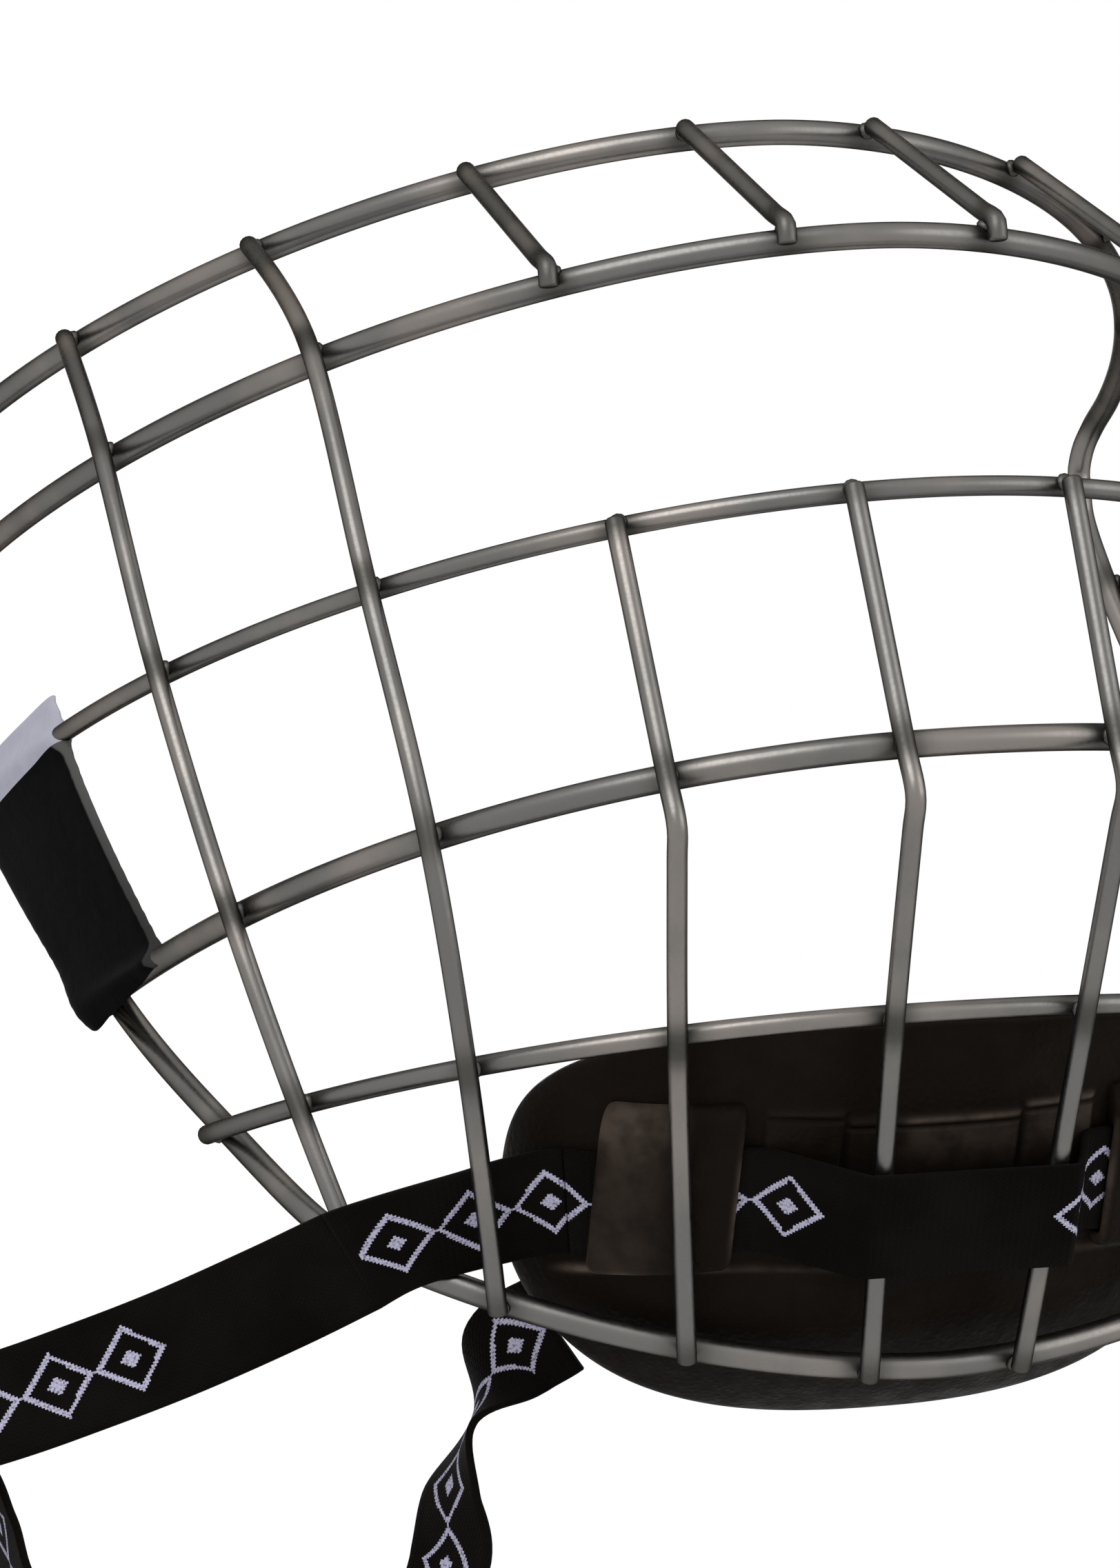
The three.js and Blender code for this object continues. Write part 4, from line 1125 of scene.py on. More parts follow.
def white_for_camera(tree, lit, output, white_kind):
    """Plain white wherever the camera looks straight at it, or sees it in gloss or through glass."""
    path = tree.nodes.new("ShaderNodeLightPath")
    seen = path.outputs["Is Camera Ray"]
    for name in ("Is Glossy Ray", "Is Transmission Ray"):
        either = tree.nodes.new("ShaderNodeMath")
        either.operation = "MAXIMUM"
        tree.links.new(seen, either.inputs[0])
        tree.links.new(path.outputs[name], either.inputs[1])
        seen = either.outputs[0]
    white = tree.nodes.new(white_kind)
    white.inputs[0].default_value = (1, 1, 1, 1)
    mix = tree.nodes.new("ShaderNodeMixShader")
    for source, socket in zip((seen, lit, white.outputs[0]), mix.inputs):
        tree.links.new(source, socket)
    tree.links.new(mix.outputs[0], output)


class CAGE_OT_stage(bpy.types.Operator):
    """Sets the camera at the photograph's angle, soft studio lamps, a pale floor and a white world"""

    bl_idname = "cage.stage"
    bl_label = "Studio"

    def execute(self, context):
        self.camera(context)
        for row in LAMPS:
            self.lamp(context, *row)
        self.floor(context)
        self.world(context)
        return {"FINISHED"}

    def camera(self, context):
        turn, rise, roll = (math.radians(v) for v in (CAMERA_TURN, CAMERA_RISE, CAMERA_ROLL))
        ahead = -math.cos(turn) * math.cos(rise)
        back = np.array([math.sin(turn) * math.cos(rise), ahead, math.sin(rise)])
        level = np.array([math.cos(turn), math.sin(turn), 0.0])
        above = np.cross(back, level)
        right = math.cos(roll) * level + math.sin(roll) * above
        top = math.cos(roll) * above - math.sin(roll) * level
        data = bpy.data.cameras.new("photo_camera")
        data.lens = CAMERA_LENS
        data.sensor_width = CAMERA_SENSOR
        data.clip_start = CAMERA_CLIP
        context.scene.camera = put(context, "photo_camera", data, (right, top, back), CAMERA_PLACE)

    def lamp(self, context, name, place, size, power):
        data = bpy.data.lights.new(name, "AREA")
        data.shape = "DISK"
        data.size = size
        data.energy = power
        away = unit(np.array(place) - LAMP_TARGET)
        side = unit(np.cross(UP, away))
        put(context, name, data, (side, np.cross(away, side), away), place)

    def floor(self, context):
        low, half = CAD_BOX[0][2] - FLOOR_DROP, FLOOR_HALF
        corners = [(-half, -half, low), (half, -half, low), (half, half, low), (-half, half, low)]
        mesh = bpy.data.meshes.new("floor")
        mesh.from_pydata(corners, [], [(0, 1, 2, 3)])
        material = bpy.data.materials.new("floor_white")
        material.use_nodes = True
        tree = material.node_tree
        shader, output = tree.nodes["Principled BSDF"], tree.nodes["Material Output"]
        shader.inputs["Base Color"].default_value = (*FLOOR_COLOUR, 1)
        shader.inputs["Roughness"].default_value = FLOOR_ROUGHNESS
        white_for_camera(tree, shader.outputs[0], output.inputs[0], "ShaderNodeEmission")
        mesh.materials.append(material)
        floor = bpy.data.objects.new("floor", mesh)
        context.scene.collection.objects.link(floor)

    def world(self, context):
        world = bpy.data.worlds.new("studio")
        world.use_nodes = True
        tree = world.node_tree
        sky, output = tree.nodes["Background"], tree.nodes["World Output"]
        sky.inputs[0].default_value = (*SKY_COLOUR, 1)
        sky.inputs[1].default_value = SKY_STRENGTH
        white_for_camera(tree, sky.outputs[0], output.inputs[0], "ShaderNodeBackground")
        context.scene.world = world
        context.scene.view_settings.view_transform = "Standard"


def first_of_three(rows):
    """A value for each point, as the first of the three that an attribute holds."""
    rows = np.asarray(rows)
    return np.stack([rows, rows * 0, rows * 0], -1)


class CAGE_OT_wires(bpy.types.Operator):
    """Draws every bar, side wire and upright as a round satin wire"""

    bl_idname = "cage.wires"
    bl_label = "Wires"

    def execute(self, context):
        welds = np.array([place for place, _, _ in weld_table()])
        for name, path, diameter, hint in wire_table():
            rings = tube_rings(path, diameter / 2, hint, sizes()[0].chamfer)
            apart = np.min(np.linalg.norm(rings.mean(1)[:, None] - welds[None], axis=2), axis=1)
            zone = bell(np.maximum(apart - DARK_START, 0), DARK_FADE)
            values = first_of_three(np.broadcast_to(zone[:, None], rings.shape[:2]))
            ending = "_tube" if name.endswith("wire") else "_wire"
            make_piece(name + ending, [ring_shell(rings, values)], "steel", "cage", name)
        return {"FINISHED"}


class CAGE_OT_welds(bpy.types.Operator):
    """Puts a small weld bead at every crossing and at the butt joints of the frame"""

    bl_idname = "cage.welds"
    bl_label = "Weld beads"

    def execute(self, context):
        beads = [self.crossing_bead(*row) for row in weld_table()]
        chin = BARS["chin_bar"]
        for _, side in SIDES:
            angle = side * math.radians(CHIN_END_DEGREES)
            way = bar_tangent(chin, angle)
            beads.append(self.butt_bead(temple_end(side)[1] - UP * BUTT_GAP / 2, UP, ACROSS))
            beads.append(self.butt_bead(bar_point(chin, angle) + side * way * BUTT_GAP / 2, way, UP))
        shells = [ring_shell(bead, np.ones(bead.shape)) for bead in beads]
        make_piece("weld_beads", shells, "steel", "cage")
        return {"FINISHED"}

    def crossing_bead(self, place, along, out):
        """A flattened ball: circles round the way out of the bar, from one pole nearly to the other."""
        bead = sizes()[0].bead
        side = unit(np.cross(out, along))
        turn = full_turn(12)
        rise = (np.linspace(-1, 1, 9) * math.radians(BEAD_CLOSE_DEGREES))[:, None, None]
        circle = np.cos(turn)[:, None] * along + np.sin(turn)[:, None] * side
        return place + (np.cos(rise) * circle * bead + np.sin(rise) * out * bead * BEAD_FLATNESS)

    def butt_bead(self, place, along, hint):
        """A short tube round a butt joint that swells to its middle as half an ellipse."""
        path = place + along * (np.linspace(-1, 1, 9) * BUTT_BEAD_HALF)[:, None]
        rings = tube_rings(path, sizes()[0].heavy / 2, hint)
        centre = rings.mean(1)
        share = arc_lengths(centre) / arc_lengths(centre)[-1]
        least, more = BUTT_BEAD_SWELL
        swell = least + more * np.sqrt(np.clip(1 - (share * 2 - 1) ** 2, 0, 1))
        return centre[:, None] + (rings - centre[:, None]) * swell[:, None, None]


def cup_relief(x, height):
    """Lift of the cup's outer face above its plain form, and its share of painted highlight, from 0 to 1.
    The panels and crests carry the painted highlight on the wearer's left, and the lip towards its ends."""
    reach, ridge = np.abs(x), sizes()[1].ridge
    inside = smooth_step(reach, *MIDDLE_PANEL)
    inside += smooth_step(reach, *OUTER_PANEL[0]) * smooth_step(reach, *OUTER_PANEL[1])
    above = height - CREST["height"] - CREST["drop"] * (reach > CREST["drop_at"])
    panel = smooth_step(height, *PANEL_FOOT) * smooth_step(above, *PANEL_HEAD)
    below = height + LIP["drop"] + LIP["sink"] * (reach / LIP["reach"]) ** 4
    ends = smooth_step(reach, *LIP_ENDS)
    raised = inside * (PANEL_LIFT * panel + bell(above, CREST["half"]))
    lift = ridge * (raised + ends * bell(below, LIP["half"]))
    # Painted highlight on the panels and crests, stronger on the wearer's left, and a thin painted
    # highlight along the lip
    highlit = inside * (0.10 + 0.90 * smooth_step(x, *HIGHLIGHT_START))
    strength, half = HIGHLIGHT_CREST
    painted_highlight_share = highlit * (HIGHLIGHT_PANEL * panel * smooth_step(height, *HIGHLIGHT_CLIMB) + strength * bell(above, half))
    lip = ends * (0.25 + 0.75 * smooth_step(reach, *HIGHLIGHT_LIP))
    return lift, np.clip(painted_highlight_share + lip * bell(below - 0.2 * MM, 0.6 * MM), 0, 1)


class CAGE_OT_cup(bpy.types.Operator):
    """Moulds the chin cup: a deep bowl with a rolled rim, ridges and two raised loops for the webbing"""

    bl_idname = "cage.cup"
    bl_label = "Chin cup"

    def execute(self, context):
        shells = [self.bowl()] + [self.raised_loop(side) for _, side in SIDES]
        make_piece("chin_cup_shell", shells, "cup", "chin_cup", "chin_cup")
        return {"FINISHED"}

    def bowl(self):
        """Polar grid over the rim's superellipse: out over the outer face, round the rim as a half circle
        of the wall's thickness, and back over the inner face."""
        wall = sizes()[1].wall
        turn = full_turn(480)
        edge = (wall / 2) / CUP_HALF[1]
        face = np.concatenate([
            np.linspace(0.02, 0.28, 16), np.linspace(0.28, 0.68, 74)[1:], np.linspace(0.68, 1, 26)[1:]
        ]) * (1 - edge)
        layers, painted_highlight = [], []
        for share in face:
            x, height = rim_place(turn, share)
            # Each layer gets its lift and its share of painted highlight
            lift, painted_highlight_share = cup_relief(x, height)
            layers.append(cup_surface(x, height, lift))
            painted_highlight.append(painted_highlight_share)
        for angle in np.linspace(0, math.pi, 9)[1:-1]:
            place = rim_place(turn, 1 - edge + edge * math.sin(angle))
            layers.append(cup_surface(*place, -wall / 2 + wall / 2 * math.cos(angle)))
        layers += [cup_surface(*rim_place(turn, share), -wall) for share in face[::-4]]
        painted_highlight += [turn * 0] * (len(layers) - len(painted_highlight))
        return ring_shell(np.array(layers), first_of_three(painted_highlight))

    def raised_loop(self, side):
        """An arch carried across the cup: an outer profile over a tunnel for the webbing. Its shoulders
        are quarter ellipses, a narrow one below and a wide one above, and it swells to its middle. Near
        both ends the outer profile draws in as a quarter circle. Its outer half carries a painted
        highlight."""
        inner, outer = LOOP_SPAN[0] + LOOP_SET_BACK, LOOP_SPAN[1]
        tunnel = sizes()[2].thickness + 2 * STRAP_GAP
        gap = sizes()[2].width / 2 + TUNNEL_SIDE
        span = outer - inner
        ends = LOOP_ROUND * (1 - np.cos(np.linspace(0, math.pi / 2, 7)))
        straight = np.linspace(LOOP_ROUND, span - LOOP_ROUND, 26)[1:-1]
        corner = np.linspace(0, math.pi / 2, 12)
        steps = np.linspace(0, 1, 32)[1:-1]
        climb = np.linspace(0, tunnel, 12)
        foot, head = LOOP_SHOULDERS
        rings, painted_highlight = [], []
        for offset in np.concatenate([ends, straight, (span - ends)[::-1]]):
            x, share = side * (inner + offset), offset / span
            near = min(offset, span - offset, LOOP_ROUND) / LOOP_ROUND
            inset = LOOP_ROUND * (1 - math.sqrt(1 - (1 - near) ** 2))
            low = LOOP_FOOT[0] * (1 - share) + LOOP_FOOT[1] * share + inset
            high = LOOP_HEAD[0] * (1 - share) + LOOP_HEAD[1] * share - inset
            h = np.concatenate([
                [low], low + foot * (1 - np.cos(corner)), low + foot + (high - head - low - foot) * steps,
                high - head * (1 - np.cos(corner[::-1])), [high],
            ])
            puff = LOOP_PUFF * math.sin(math.pi * share) * np.sin(math.pi * (h - low) / (high - low))
            rise = np.concatenate([[0], np.sin(corner), np.ones(len(steps)), np.sin(corner[::-1]), [0]])
            lift = (tunnel + LOOP_ROOF - inset * 0.7 + puff) * rise
            lift[[0, -1]] = -LOOP_SUNK
            middle = float(strap_height(np.array(x)))
            foot_in, head_in = (np.full(len(climb) + 1, middle + gap * sign) for sign in (-1, 1))
            h_in = np.concatenate([foot_in, middle + gap * (2 * steps - 1), head_in])
            roof = np.concatenate([climb, np.full(len(steps), tunnel), climb[::-1]])
            lift_in = np.concatenate([[-LOOP_SUNK], roof, [-LOOP_SUNK]])
            heights = np.concatenate([h, h_in[::-1]])
            rings.append(cup_surface(x, heights, np.concatenate([lift, lift_in[::-1]])))
            # Painted highlight: broad on the upper shoulder of the outer half, a thin line along its foot
            # and one along the inner end
            outer_half = smooth_step(share, 0.30, 0.80)
            painted_highlight_share = outer_half * (0.22 + 0.48 * bell(high - h - 2 * MM, 4.5 * MM)) * (1.15 - 0.35 * share)
            painted_highlight_share += 0.8 * outer_half * bell(h - low - 0.4 * MM, 0.8 * MM)
            painted_highlight_share += 0.75 * bell(offset, 0.5 * MM) * bell(h + 3 * MM, 9 * MM)
            painted_highlight.append(np.concatenate([np.clip(painted_highlight_share, 0, 1), np.zeros(len(h_in))]))
        rings = np.array(rings)
        rows, columns = rings.shape[:2]
        faces = [tuple(f) for f in ring_faces(rows, columns)]
        for start, flip in ((0, True), ((rows - 1) * columns, False)):
            for i in range(columns // 2 - 1):
                quad = (start + i, start + i + 1, start + columns - 2 - i, start + columns - 1 - i)
                faces.append(quad[::-1] if flip else quad)
        return Shell(rings.reshape(-1, 3), faces, first_of_three(painted_highlight).reshape(-1, 3))


class CAGE_OT_pad(bpy.types.Operator):
    """Forms the foam chin pad: a crowned cushion inside the bowl with pressed channels"""

    bl_idname = "cage.pad"
    bl_label = "Chin pad"

    def execute(self, context):
        cup = sizes()[1]
        back = -cup.wall - PAD_GAP
        turn = full_turn(192)
        shares = np.sqrt(np.linspace(0.0005, 1, 60))
        layers = [cup_surface(*rim_place(turn, share * PAD_RIM_SHARE), back) for share in shares]
        for share in shares[::-1]:
            x, height = rim_place(turn, share * PAD_RIM_SHARE)
            crown = PAD_EDGE_SHARE + (1 - PAD_EDGE_SHARE) * (1 - share**4) ** 0.5
            pressed = CHANNEL["depth"] * self.channels(x, height) * smooth_step(share, 1.0, 0.86)
            layers.append(cup_surface(x, height, back - cup.pad * crown * (1 - pressed)))
        pad = make_piece("chin_pad_foam", [ring_shell(np.array(layers))], "foam", "chin_cup", "chin_pad")
        return {"FINISHED"}

    def channels(self, x, height):
        """Pressed channels: one line across the pad and two that run down it, each a narrow bell."""
        line = bell(height + CHANNEL["drop"], CHANNEL["half"])
        for place in (-CHANNEL["out"], CHANNEL["out"]):
            line = np.maximum(line, bell(x - place, CHANNEL["half"]))
        return line


class CAGE_OT_cup_straps(bpy.types.Operator):
    """Threads the front webbing through the cup's raised loops and out to the jaw corners"""

    bl_idname = "cage.cup_straps"
    bl_label = "Cup webbing"

    def execute(self, context):
        light = sizes()[0].light
        near = [(low_upright_path(0, side), light) for side in (-1, 1)]
        join = {0: -exit_direction(-1), -1: exit_direction(1)}
        rings, values = self.band(front_path(), join, MOTIF["start"])
        shell = ring_shell(push_clear(rings, near, FRONT_CLEAR_GAP), values)
        make_piece("front_strap_webbing", [shell], "webbing", "chin_cup", "front_strap")
        wires = {name: (path, diameter) for name, path, diameter, _ in wire_table()}
        for word, side in SIDES:
            near = [wires[f"{word}_{kind}"] for kind in ("side_wire", "outer_upright", "cheek_upright")]
            join = {0: exit_direction(side), -1: jaw_direction(side)}
            rings, values = self.band(root_path(side), join, weave_start(side), side)
            shell = ring_shell(push_clear(rings, [wires["chin_bar"], *near]), values)
            make_piece(f"{word}_root_webbing", [shell], "webbing", "chin_cup", f"{word}_strap_root")
        return {"FINISHED"}

    def band(self, path, join, *weave):
        return band_rings(path, np.broadcast_to(cup_axes()[1], path.shape), join, *weave)


class CAGE_OT_side_loops(bpy.types.Operator):
    """Runs the webbing of each harness loop out to its snap tab and back to the rim of the cup"""

    bl_idname = "cage.side_loops"
    bl_label = "Side loops"

    def execute(self, context):
        for word, side in SIDES:
            for kind, (path, across, join, *weave) in zip(("upper", "lower"), self.paths(side)):
                shell = ring_shell(*band_rings(path, across, join, *weave))
                name = f"{word}_{kind}"
                piece = make_piece(f"{name}_band", [shell], "webbing", None, f"{name}_webbing")
                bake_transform(piece)
        return {"FINISHED"}

    def paths(self, side):
        """The upper run goes to the tab and round its bar; the lower one twists back to the cup."""
        _, up, _ = cup_axes()
        centre, inward, across, face = tab_axes(side)
        radius = turn_radius()

        def leg(along, lift):
            along = np.atleast_1d(along)[:, None]
            return centre + inward * along + face * np.atleast_1d(lift)[:, None]

        points = [loop_place(side, shares) for shares in UPPER_RUN]
        points.append(leg(LEG_LENGTH, radius)[0])
        points.insert(1, points[0] + jaw_direction(side) * LOOP_LEAD)
        straight = leg(np.linspace(LEG_LENGTH, 0, 16)[1:], radius)
        turn = np.linspace(0, math.pi, 25)[1:]
        bend = leg(-radius * np.sin(turn), radius * np.cos(turn))
        path = np.vstack([smooth_path(points), straight, bend])
        share = np.clip(arc_lengths(path) / TWIST_REACH, 0, 1)[:, None]
        twist = unit(up * (1 - share) + across * share)
        upper = (path, twist, {0: jaw_direction(side), -1: inward}, weave_start(side, True), side)
        start = leg(JOIN_GAP, -radius)[0]
        points = [leg(LEG_LENGTH, -radius)[0]] + [loop_place(side, shares) for shares in LOWER_RUN]
        turns = [across] + [np.array([side * x, y, z]) for x, y, z in LOWER_TWIST]
        straight = start + (points[0] - start) * np.linspace(0, 1, 12)[:-1, None]
        path = np.vstack([straight, smooth_path(points, 14)])
        twist = np.vstack([np.broadcast_to(across, straight.shape), unit(smooth_path(turns, 14))])
        lower = (path, twist, {0: inward}, MOTIF["end"] - arc_lengths(path)[-1])
        return upper, lower


def on_tab(side, along, width, lift):
    """Points on a snap tab, from lengths out along it, across it and out of its face."""
    centre, inward, _, face = tab_axes(side)
    sideways = np.cross(face, -inward)
    along, width, lift = spaced(along, width, lift)
    return centre - inward * along + sideways * width + face * lift


def rounded_loop(half_a, half_b, corner, per_corner=8):
    """Outline of a rectangle with round corners, once round."""
    turn = np.linspace(0, math.pi / 2, per_corner)
    a, b = [], []
    for k, (sa, sb) in enumerate(((1, 1), (-1, 1), (-1, -1), (1, -1))):
        angle = turn + k * math.pi / 2
        a.append(sa * (half_a - corner) + corner * np.cos(angle))
        b.append(sb * (half_b - corner) + corner * np.sin(angle))
    return np.concatenate(a), np.concatenate(b)


def carried_round(a, b, half_a, half_b, section):
    """A section carried round a closed outline. Each of its points lies out of the outline by a share of
    half its width, which is half_a at the outline's ends along a, and half_b at its ends along b."""
    path = np.stack([a, b], 1)
    ahead = unit(np.roll(path, -1, 0) - np.roll(path, 1, 0))
    out = np.stack([ahead[:, 1], -ahead[:, 0]], 1)
    wide = np.hypot(out[:, 0] * half_a, out[:, 1] * half_b)
    places = path[:, None] + out[:, None] * (section[None] * wide[:, None])[..., None]
    return places[..., 0], places[..., 1]


class CAGE_OT_tabs(bpy.types.Operator):
    """Moulds each snap tab with its webbing slot, and presses the metal socket into it"""

    bl_idname = "cage.tabs"
    bl_label = "Snap tabs"

    def execute(self, context):
        for word, side in SIDES:
            body, tab = f"{word}_tab", [self.plate(side), self.slot_frame(side)]
            make_piece(f"{word}_snap_tab_body", tab, "buckle", body, f"{word}_snap_tab")
            socket = [self.socket(side)]
            make_piece(f"{word}_snap_socket_ring", socket, "nickel", body, f"{word}_snap_socket")
        return {"FINISHED"}

    def plate(self, side):
        """Plate round the socket: rings that grow from the socket's hole to the rounded outline, with a
        round edge, over one face and back over the other."""
        start, end = TAB["bar"] / 2 + TAB_SLOT, TAB["length"] - TAB["bar"] / 2
        socket, hole = end - SOCKET["inset"], SOCKET["neck"] + SOCKET_GAP
        half_a, half_b, middle = (end - start) / 2, TAB["width"] / 2, (start + end) / 2
        a, b = rounded_loop(half_a, half_b, TAB["corner"] * 0.9, 14)
        turn = np.arctan2(b, middle + a - socket)
        flat_a, flat_b = middle + a * (1 - TAB_EDGE / half_a), b * (1 - TAB_EDGE / half_b)
        shares = np.linspace(0, 1, 7)
        plan = [(share, 0, TAB["thick"] / 2) for share in shares]
        for angle in np.linspace(math.pi / 2, -math.pi / 2, 7)[1:-1]:
            rise = math.sin(angle) if abs(angle) > 0.01 else 0.0
            lift = (TAB["thick"] / 2 - TAB_EDGE) * np.sign(rise) + TAB_EDGE * rise
            plan.append((1, TAB_EDGE * math.cos(angle), lift))
        plan += [(share, 0, -TAB["thick"] / 2) for share in shares[::-1]]
        rows = []
        for share, grow, lift in plan:
            x = (socket + hole * np.cos(turn)) * (1 - share) + flat_a * share + grow * a / np.hypot(a, b)
            y = hole * np.sin(turn) * (1 - share) + flat_b * share + grow * b / np.hypot(a, b)
            rows.append(on_tab(side, x, y, lift))
        return closed_shell(np.array(rows))

    def slot_frame(self, side):
        """Bar and both cheeks of the webbing slot: a rounded section carried round the slot."""
        bar, slot_half = TAB["bar"], sizes()[2].width / 2 + TUNNEL_SIDE
        cheek = TAB["width"] / 2 - slot_half
        outline = rounded_loop(TAB_SLOT / 2 + bar / 2, slot_half + cheek / 2, TAB_EDGE + bar / 2)
        turn = full_turn(16)
        x, y = carried_round(*outline, bar / 2, cheek / 2, squared_off(np.cos(turn), 0.5))
        lift = squared_off(np.sin(turn), 0.5) * TAB["thick"] / 2
        return closed_shell(on_tab(side, bar / 2 + TAB_SLOT / 2 + x, y, lift[None]))

    def socket(self, side):
        """Turned socket: a profile with two rolled flanges and a neck, carried once round."""
        seat = TAB["thick"] / 2 + SOCKET_GAP
        lip = seat + SOCKET["lip"]
        bore, neck, flange = SOCKET["bore"], SOCKET["neck"], SOCKET["flange"]
        radius, lift = np.array([
            (bore, -lip + 0.2 * MM), (bore + 0.25 * MM, -lip), (flange - 0.5 * MM, -lip),
            (flange, -lip + 0.35 * MM), (flange - 0.1 * MM, -seat), (neck, -seat),
            (neck, seat), (flange - 0.1 * MM, seat), (flange, lip - 0.35 * MM),
            (flange - 0.5 * MM, lip), (bore + 1.2 * MM, lip - 0.1 * MM),
            (bore + 0.4 * MM, lip - 0.35 * MM), (bore, lip - 0.7 * MM),
        ]).T
        socket_at = TAB["length"] - TAB["bar"] / 2 - SOCKET["inset"]
        turn = full_turn(48)[:, None]
        x, y = socket_at + np.cos(turn) * radius, np.sin(turn) * radius
        return closed_shell(on_tab(side, x, y, lift[None]))


class CAGE_OT_keepers(bpy.types.Operator):
    """Slips the moulded keeper ring over both runs of webbing beside each snap tab"""

    bl_idname = "cage.keepers"
    bl_label = "Keepers"

    def execute(self, context):
        for word, side in SIDES:
            keeper = [self.ring(side)]
            make_piece(f"{word}_keeper_ring", keeper, "buckle", f"{word}_keeper", f"{word}_strap_keeper")
        return {"FINISHED"}

    def ring(self, side):
        """A rounded section of the wall and the keeper's length, carried round a rounded rectangle."""
        half = KEEPER["wall"] / 2
        wide = sizes()[2].width / 2 + KEEPER["gap"] + half
        high = turn_radius() + sizes()[2].thickness / 2 + KEEPER["gap"] + half
        turn = full_turn(24) + math.pi / 24
        outline = rounded_loop(wide, high, KEEPER["corner"] + half, 9)
        width, lift = carried_round(*outline, half, half, squared_off(np.cos(turn), 0.45))
        along = (squared_off(np.sin(turn), 0.3) - 1) * KEEPER["length"] / 2 - KEEPER["inset"]
        return closed_shell(on_tab(side, along[None], width, lift))


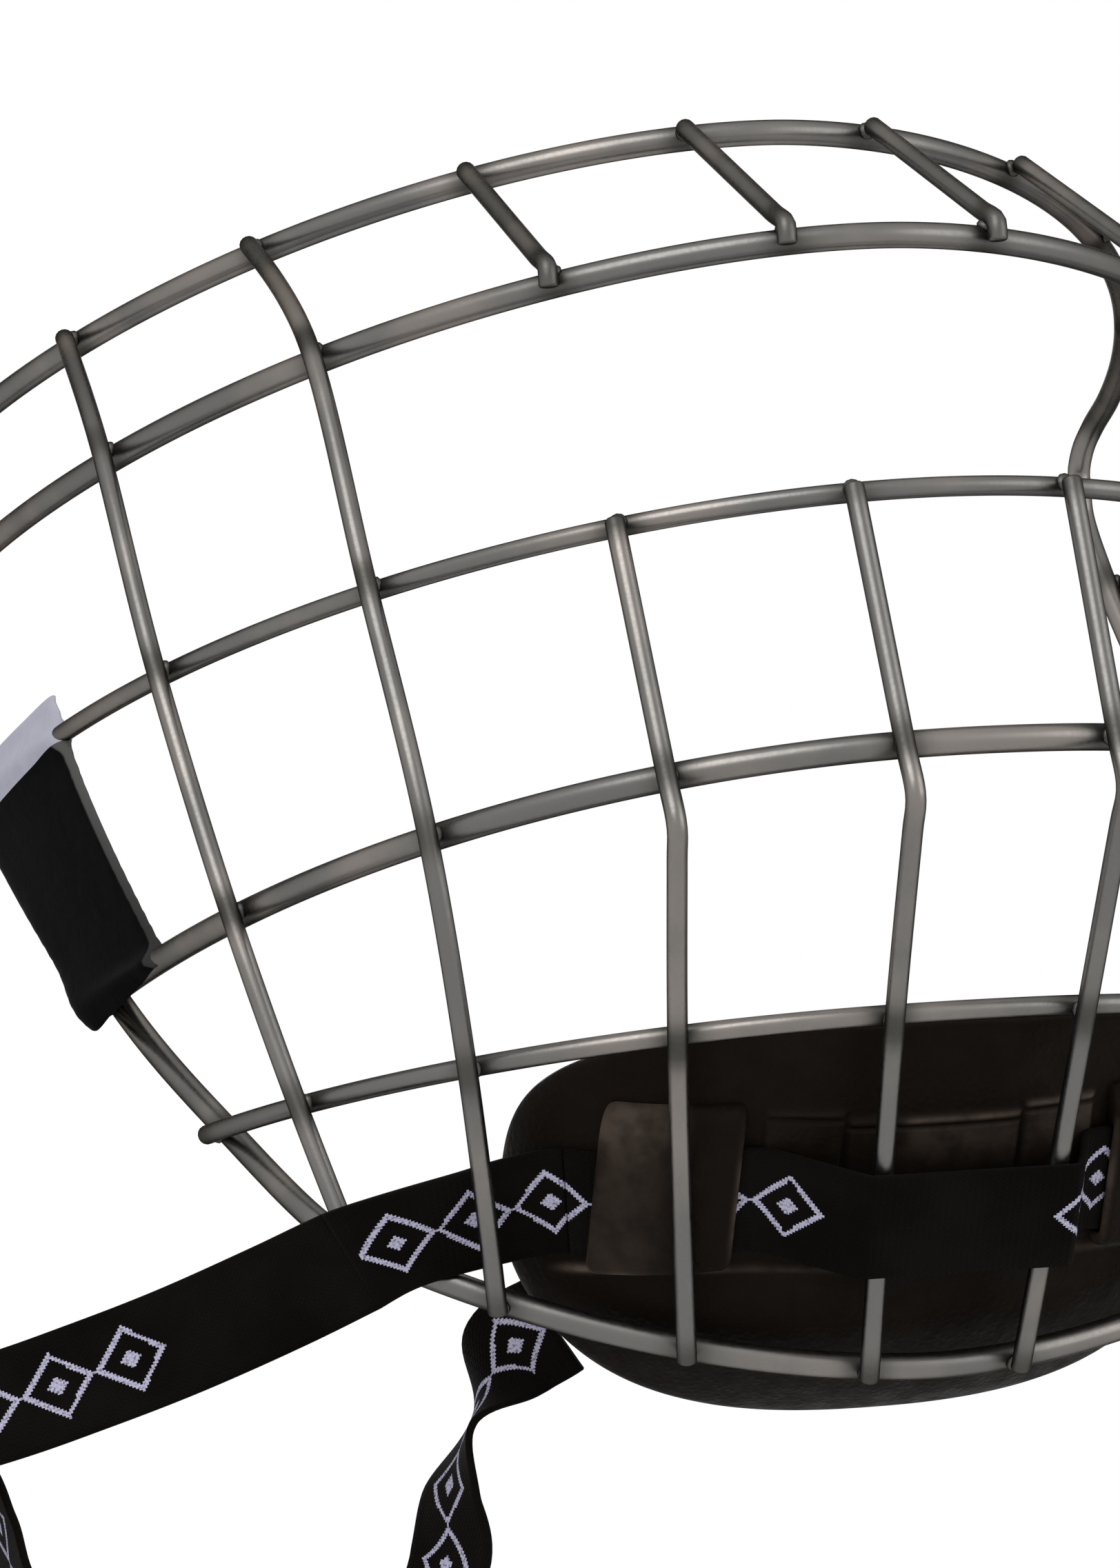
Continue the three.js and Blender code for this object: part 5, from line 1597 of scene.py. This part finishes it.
class CAGE_OT_sleeves(bpy.types.Operator):
    """Wraps the vinyl sleeve round each side wire and the ends of the eye bar and the nose bar"""

    bl_idname = "cage.sleeves"
    bl_label = "Sleeves"

    def execute(self, context):
        for word, side in SIDES:
            wrap = [self.wrap(side)]
            make_piece(f"{word}_sleeve_wrap", wrap, "sleeve", "cage", f"{word}_label_sleeve")
        return {"FINISHED"}

    def section(self, name, side, along, grow, pinch, grip):
        """Sleeve outline at a bar: round behind the side wire, then along the bar's outside to a thin
        front fold and back on its inside, with the bar's own bend. It opens round the bar; where no bar
        passes, grip closes the fold and pinch draws the outside in, each from 0 to 1 at each point."""
        bar = BARS[name]
        lap = side * math.radians(LAP_DEGREES[name])
        start = bar_point(bar, lap)
        out = outward(bar, lap, along)
        end = SLEEVE_LENGTHS[name] + grow
        heavy, width = sizes()[0].heavy, wire_of(bar)
        inner = heavy / 2 + SLEEVE_ROOM + grow
        offset = heavy / 2 + WELD_GAP + width / 2
        half = (width / 2 + SLEEVE_GRIP_GAP) * (1 - grip) + SLEEVE_FOLD * grip + grow * SLEEVE_FOLD_WALL
        hug = SLEEVE_HUG * pinch
        outer = (offset + width / 2 + SLEEVE_ROOM + grow) * (1 - hug) + inner * hug
        places = self.outline(inner, outer, half, end, offset)
        ahead = np.clip(places[:, 0], 0, end)
        bar_line = bar_point(bar, lap - side * angle_for_length(bar, lap, ahead)) - start
        forward = unit(bar_point(bar, lap - side * angle_for_length(bar, lap, end)) - start)
        bulge = dots(bar_line, out) - ahead[:, None] * np.dot(forward, out)
        centre = lap_point(name, side, along)
        return centre, centre + forward * places[:, :1] + out * (places[:, 1:] + bulge)

    def outline(self, inner, outer, half, end, offset):
        """Lengths ahead of the side wire and out from it: round its back from the inside to the outside,
        along the outside to the fold, and back on the inside."""
        bend = math.sqrt(0.5)
        one = np.ones(15)
        inner, outer, half = inner * one, outer * one, half * one
        share = np.array([0, 0, 0, 0, 0, 0, 0.25, 0.5, 0.75, 1, 1, 1, 0.75, 0.5, 0.25])
        ahead = share * (end - half * (share < 1))
        ahead[1:5] = -inner[1:5] * np.array([bend, 1, 1, bend])
        ahead[9:12:2] -= half[9:12:2]
        lift = outer + (offset + half - outer) * share
        lift[:5] = [-inner[0], -inner[1] * bend, 0, outer[3] - inner[3], outer[4] - inner[4] * (1 - bend)]
        lift[10] = offset
        lift[11:] = -inner[11:] + (offset - half[11:] + inner[11:]) * share[11:]
        return np.stack([ahead, lift], 1)

    def wrap(self, side):
        """Outlines carried up the side wire: each is a blend of the two at the bars, moved to where the
        bent wire really is, over the outside, round the hem and back over the inside. The foot hangs low
        at its outer rear and rises on the inside; the head falls towards the rear."""
        wall = sizes()[3].wall
        laps = {
            name: bar_point(BARS[name], side * math.radians(LAP_DEGREES[name])) for name in SLEEVE_LENGTHS
        }
        along = unit(laps["eye_bar"] - laps["nose_bar"])
        span = np.linalg.norm(laps["eye_bar"] - laps["nose_bar"])
        ahead = np.clip(self.outline(1, 1, 0, 1, 0)[:, 0], 0, 1)
        outside = np.array([0, 0.15, 0.5, 0.7, 0.85, 1, 1, 1, 1, 1, 0.5, 0, 0, 0, 0])
        low = (SLEEVE_LIFT + SLEEVE_TOE) * (1 - outside) - (SLEEVE_FOOT - SLEEVE_TOE) * outside
        low = ((1 - ahead) * low - SLEEVE_TOE) / span
        high = 1 + (SLEEVE_RISE - SLEEVE_TILT * (1 - ahead)) / span
        edge = np.linspace(0, math.pi, 6)[1:-1]
        hem = np.sin(edge) * wall / 2 / span
        rows = np.linspace(0, 1, 56)
        plan = [(s, 0.0, wall) for s in rows]
        plan += [(1, h, wall / 2 + math.cos(a) * wall / 2) for a, h in zip(edge, hem)]
        plan += [(s, 0.0, 0.0) for s in rows[::-1]]
        plan += [(0, -h, wall / 2 - math.cos(a) * wall / 2) for a, h in zip(edge, hem)]
        wire = side_path(side)
        layers, values = [], []
        for share, extra, grow in plan:
            level = low + share * (high - low) + extra
            gap = np.minimum(np.abs(level), np.abs(1 - level)) * span
            folds = [1 - bell(gap, reach) for reach in (SLEEVE_PINCH, SLEEVE_GRIP)]
            eye_middle, eye = self.section("eye_bar", side, along, grow, *folds)
            nose_middle, nose = self.section("nose_bar", side, along, grow, *folds)
            middle = nose_middle + (eye_middle - nose_middle) * level[:, None]
            near = np.argmin(np.abs(dots(wire[None] - middle[:, None], along)[..., 0]), axis=1)
            shift = wire[near] - middle
            line = nose + (eye - nose) * level[:, None] + shift - along * dots(shift, along)
            height = level + (1 - ahead) * SLEEVE_TILT / span
            row = np.hstack([line, height[:, None], ahead[:, None]])
            row = smooth_path(np.vstack([row[-2:], row, row[:3]]), 8)[16:-17]
            layers.append(row[:, :3])
            values.append(np.hstack([row[:, 3:], np.full((len(row), 1), grow)]))
        return closed_shell(np.array(layers), np.array(values))


class CAGE_PT_panel(bpy.types.Panel):
    """Lists the pieces of the face cage"""

    bl_idname = "CAGE_PT_panel"
    bl_label = "Face cage"
    bl_space_type = "VIEW_3D"
    bl_region_type = "UI"
    bl_category = "Face Cage"

    def draw(self, context):
        for operator in OPERATORS:
            self.layout.operator(operator.bl_idname)
        for group in sizes():
            box = self.layout.box()
            for name in group.__annotations__:
                box.prop(group, name)


OPERATORS = (
    CAGE_OT_stage, CAGE_OT_wires, CAGE_OT_welds, CAGE_OT_cup, CAGE_OT_pad, CAGE_OT_cup_straps,
    CAGE_OT_side_loops, CAGE_OT_tabs, CAGE_OT_keepers, CAGE_OT_sleeves,
)
GROUPS = {
    "cage_wires": CageWireSizes, "cage_cup": CageCupSizes, "cage_webbing": CageWebbingSizes,
    "cage_sleeve": CageSleeveSizes,
}


def register():
    for group in GROUPS.values():
        bpy.utils.register_class(group)
    for name, group in GROUPS.items():
        setattr(bpy.types.Scene, name, bpy.props.PointerProperty(type=group))
    for operator in OPERATORS:
        bpy.utils.register_class(operator)
    bpy.utils.register_class(CAGE_PT_panel)


def unregister():
    bpy.utils.unregister_class(CAGE_PT_panel)
    for operator in reversed(OPERATORS):
        bpy.utils.unregister_class(operator)
    for name, group in GROUPS.items():
        delattr(bpy.types.Scene, name)
        bpy.utils.unregister_class(group)


def main():
    register()
    bpy.ops.cage.stage()
    bpy.ops.cage.wires()
    bpy.ops.cage.welds()
    bpy.ops.cage.cup()
    bpy.ops.cage.pad()
    bpy.ops.cage.cup_straps()
    bpy.ops.cage.side_loops()
    bpy.ops.cage.tabs()
    bpy.ops.cage.keepers()
    bpy.ops.cage.sleeves()


if __name__ == "__main__":
    main()
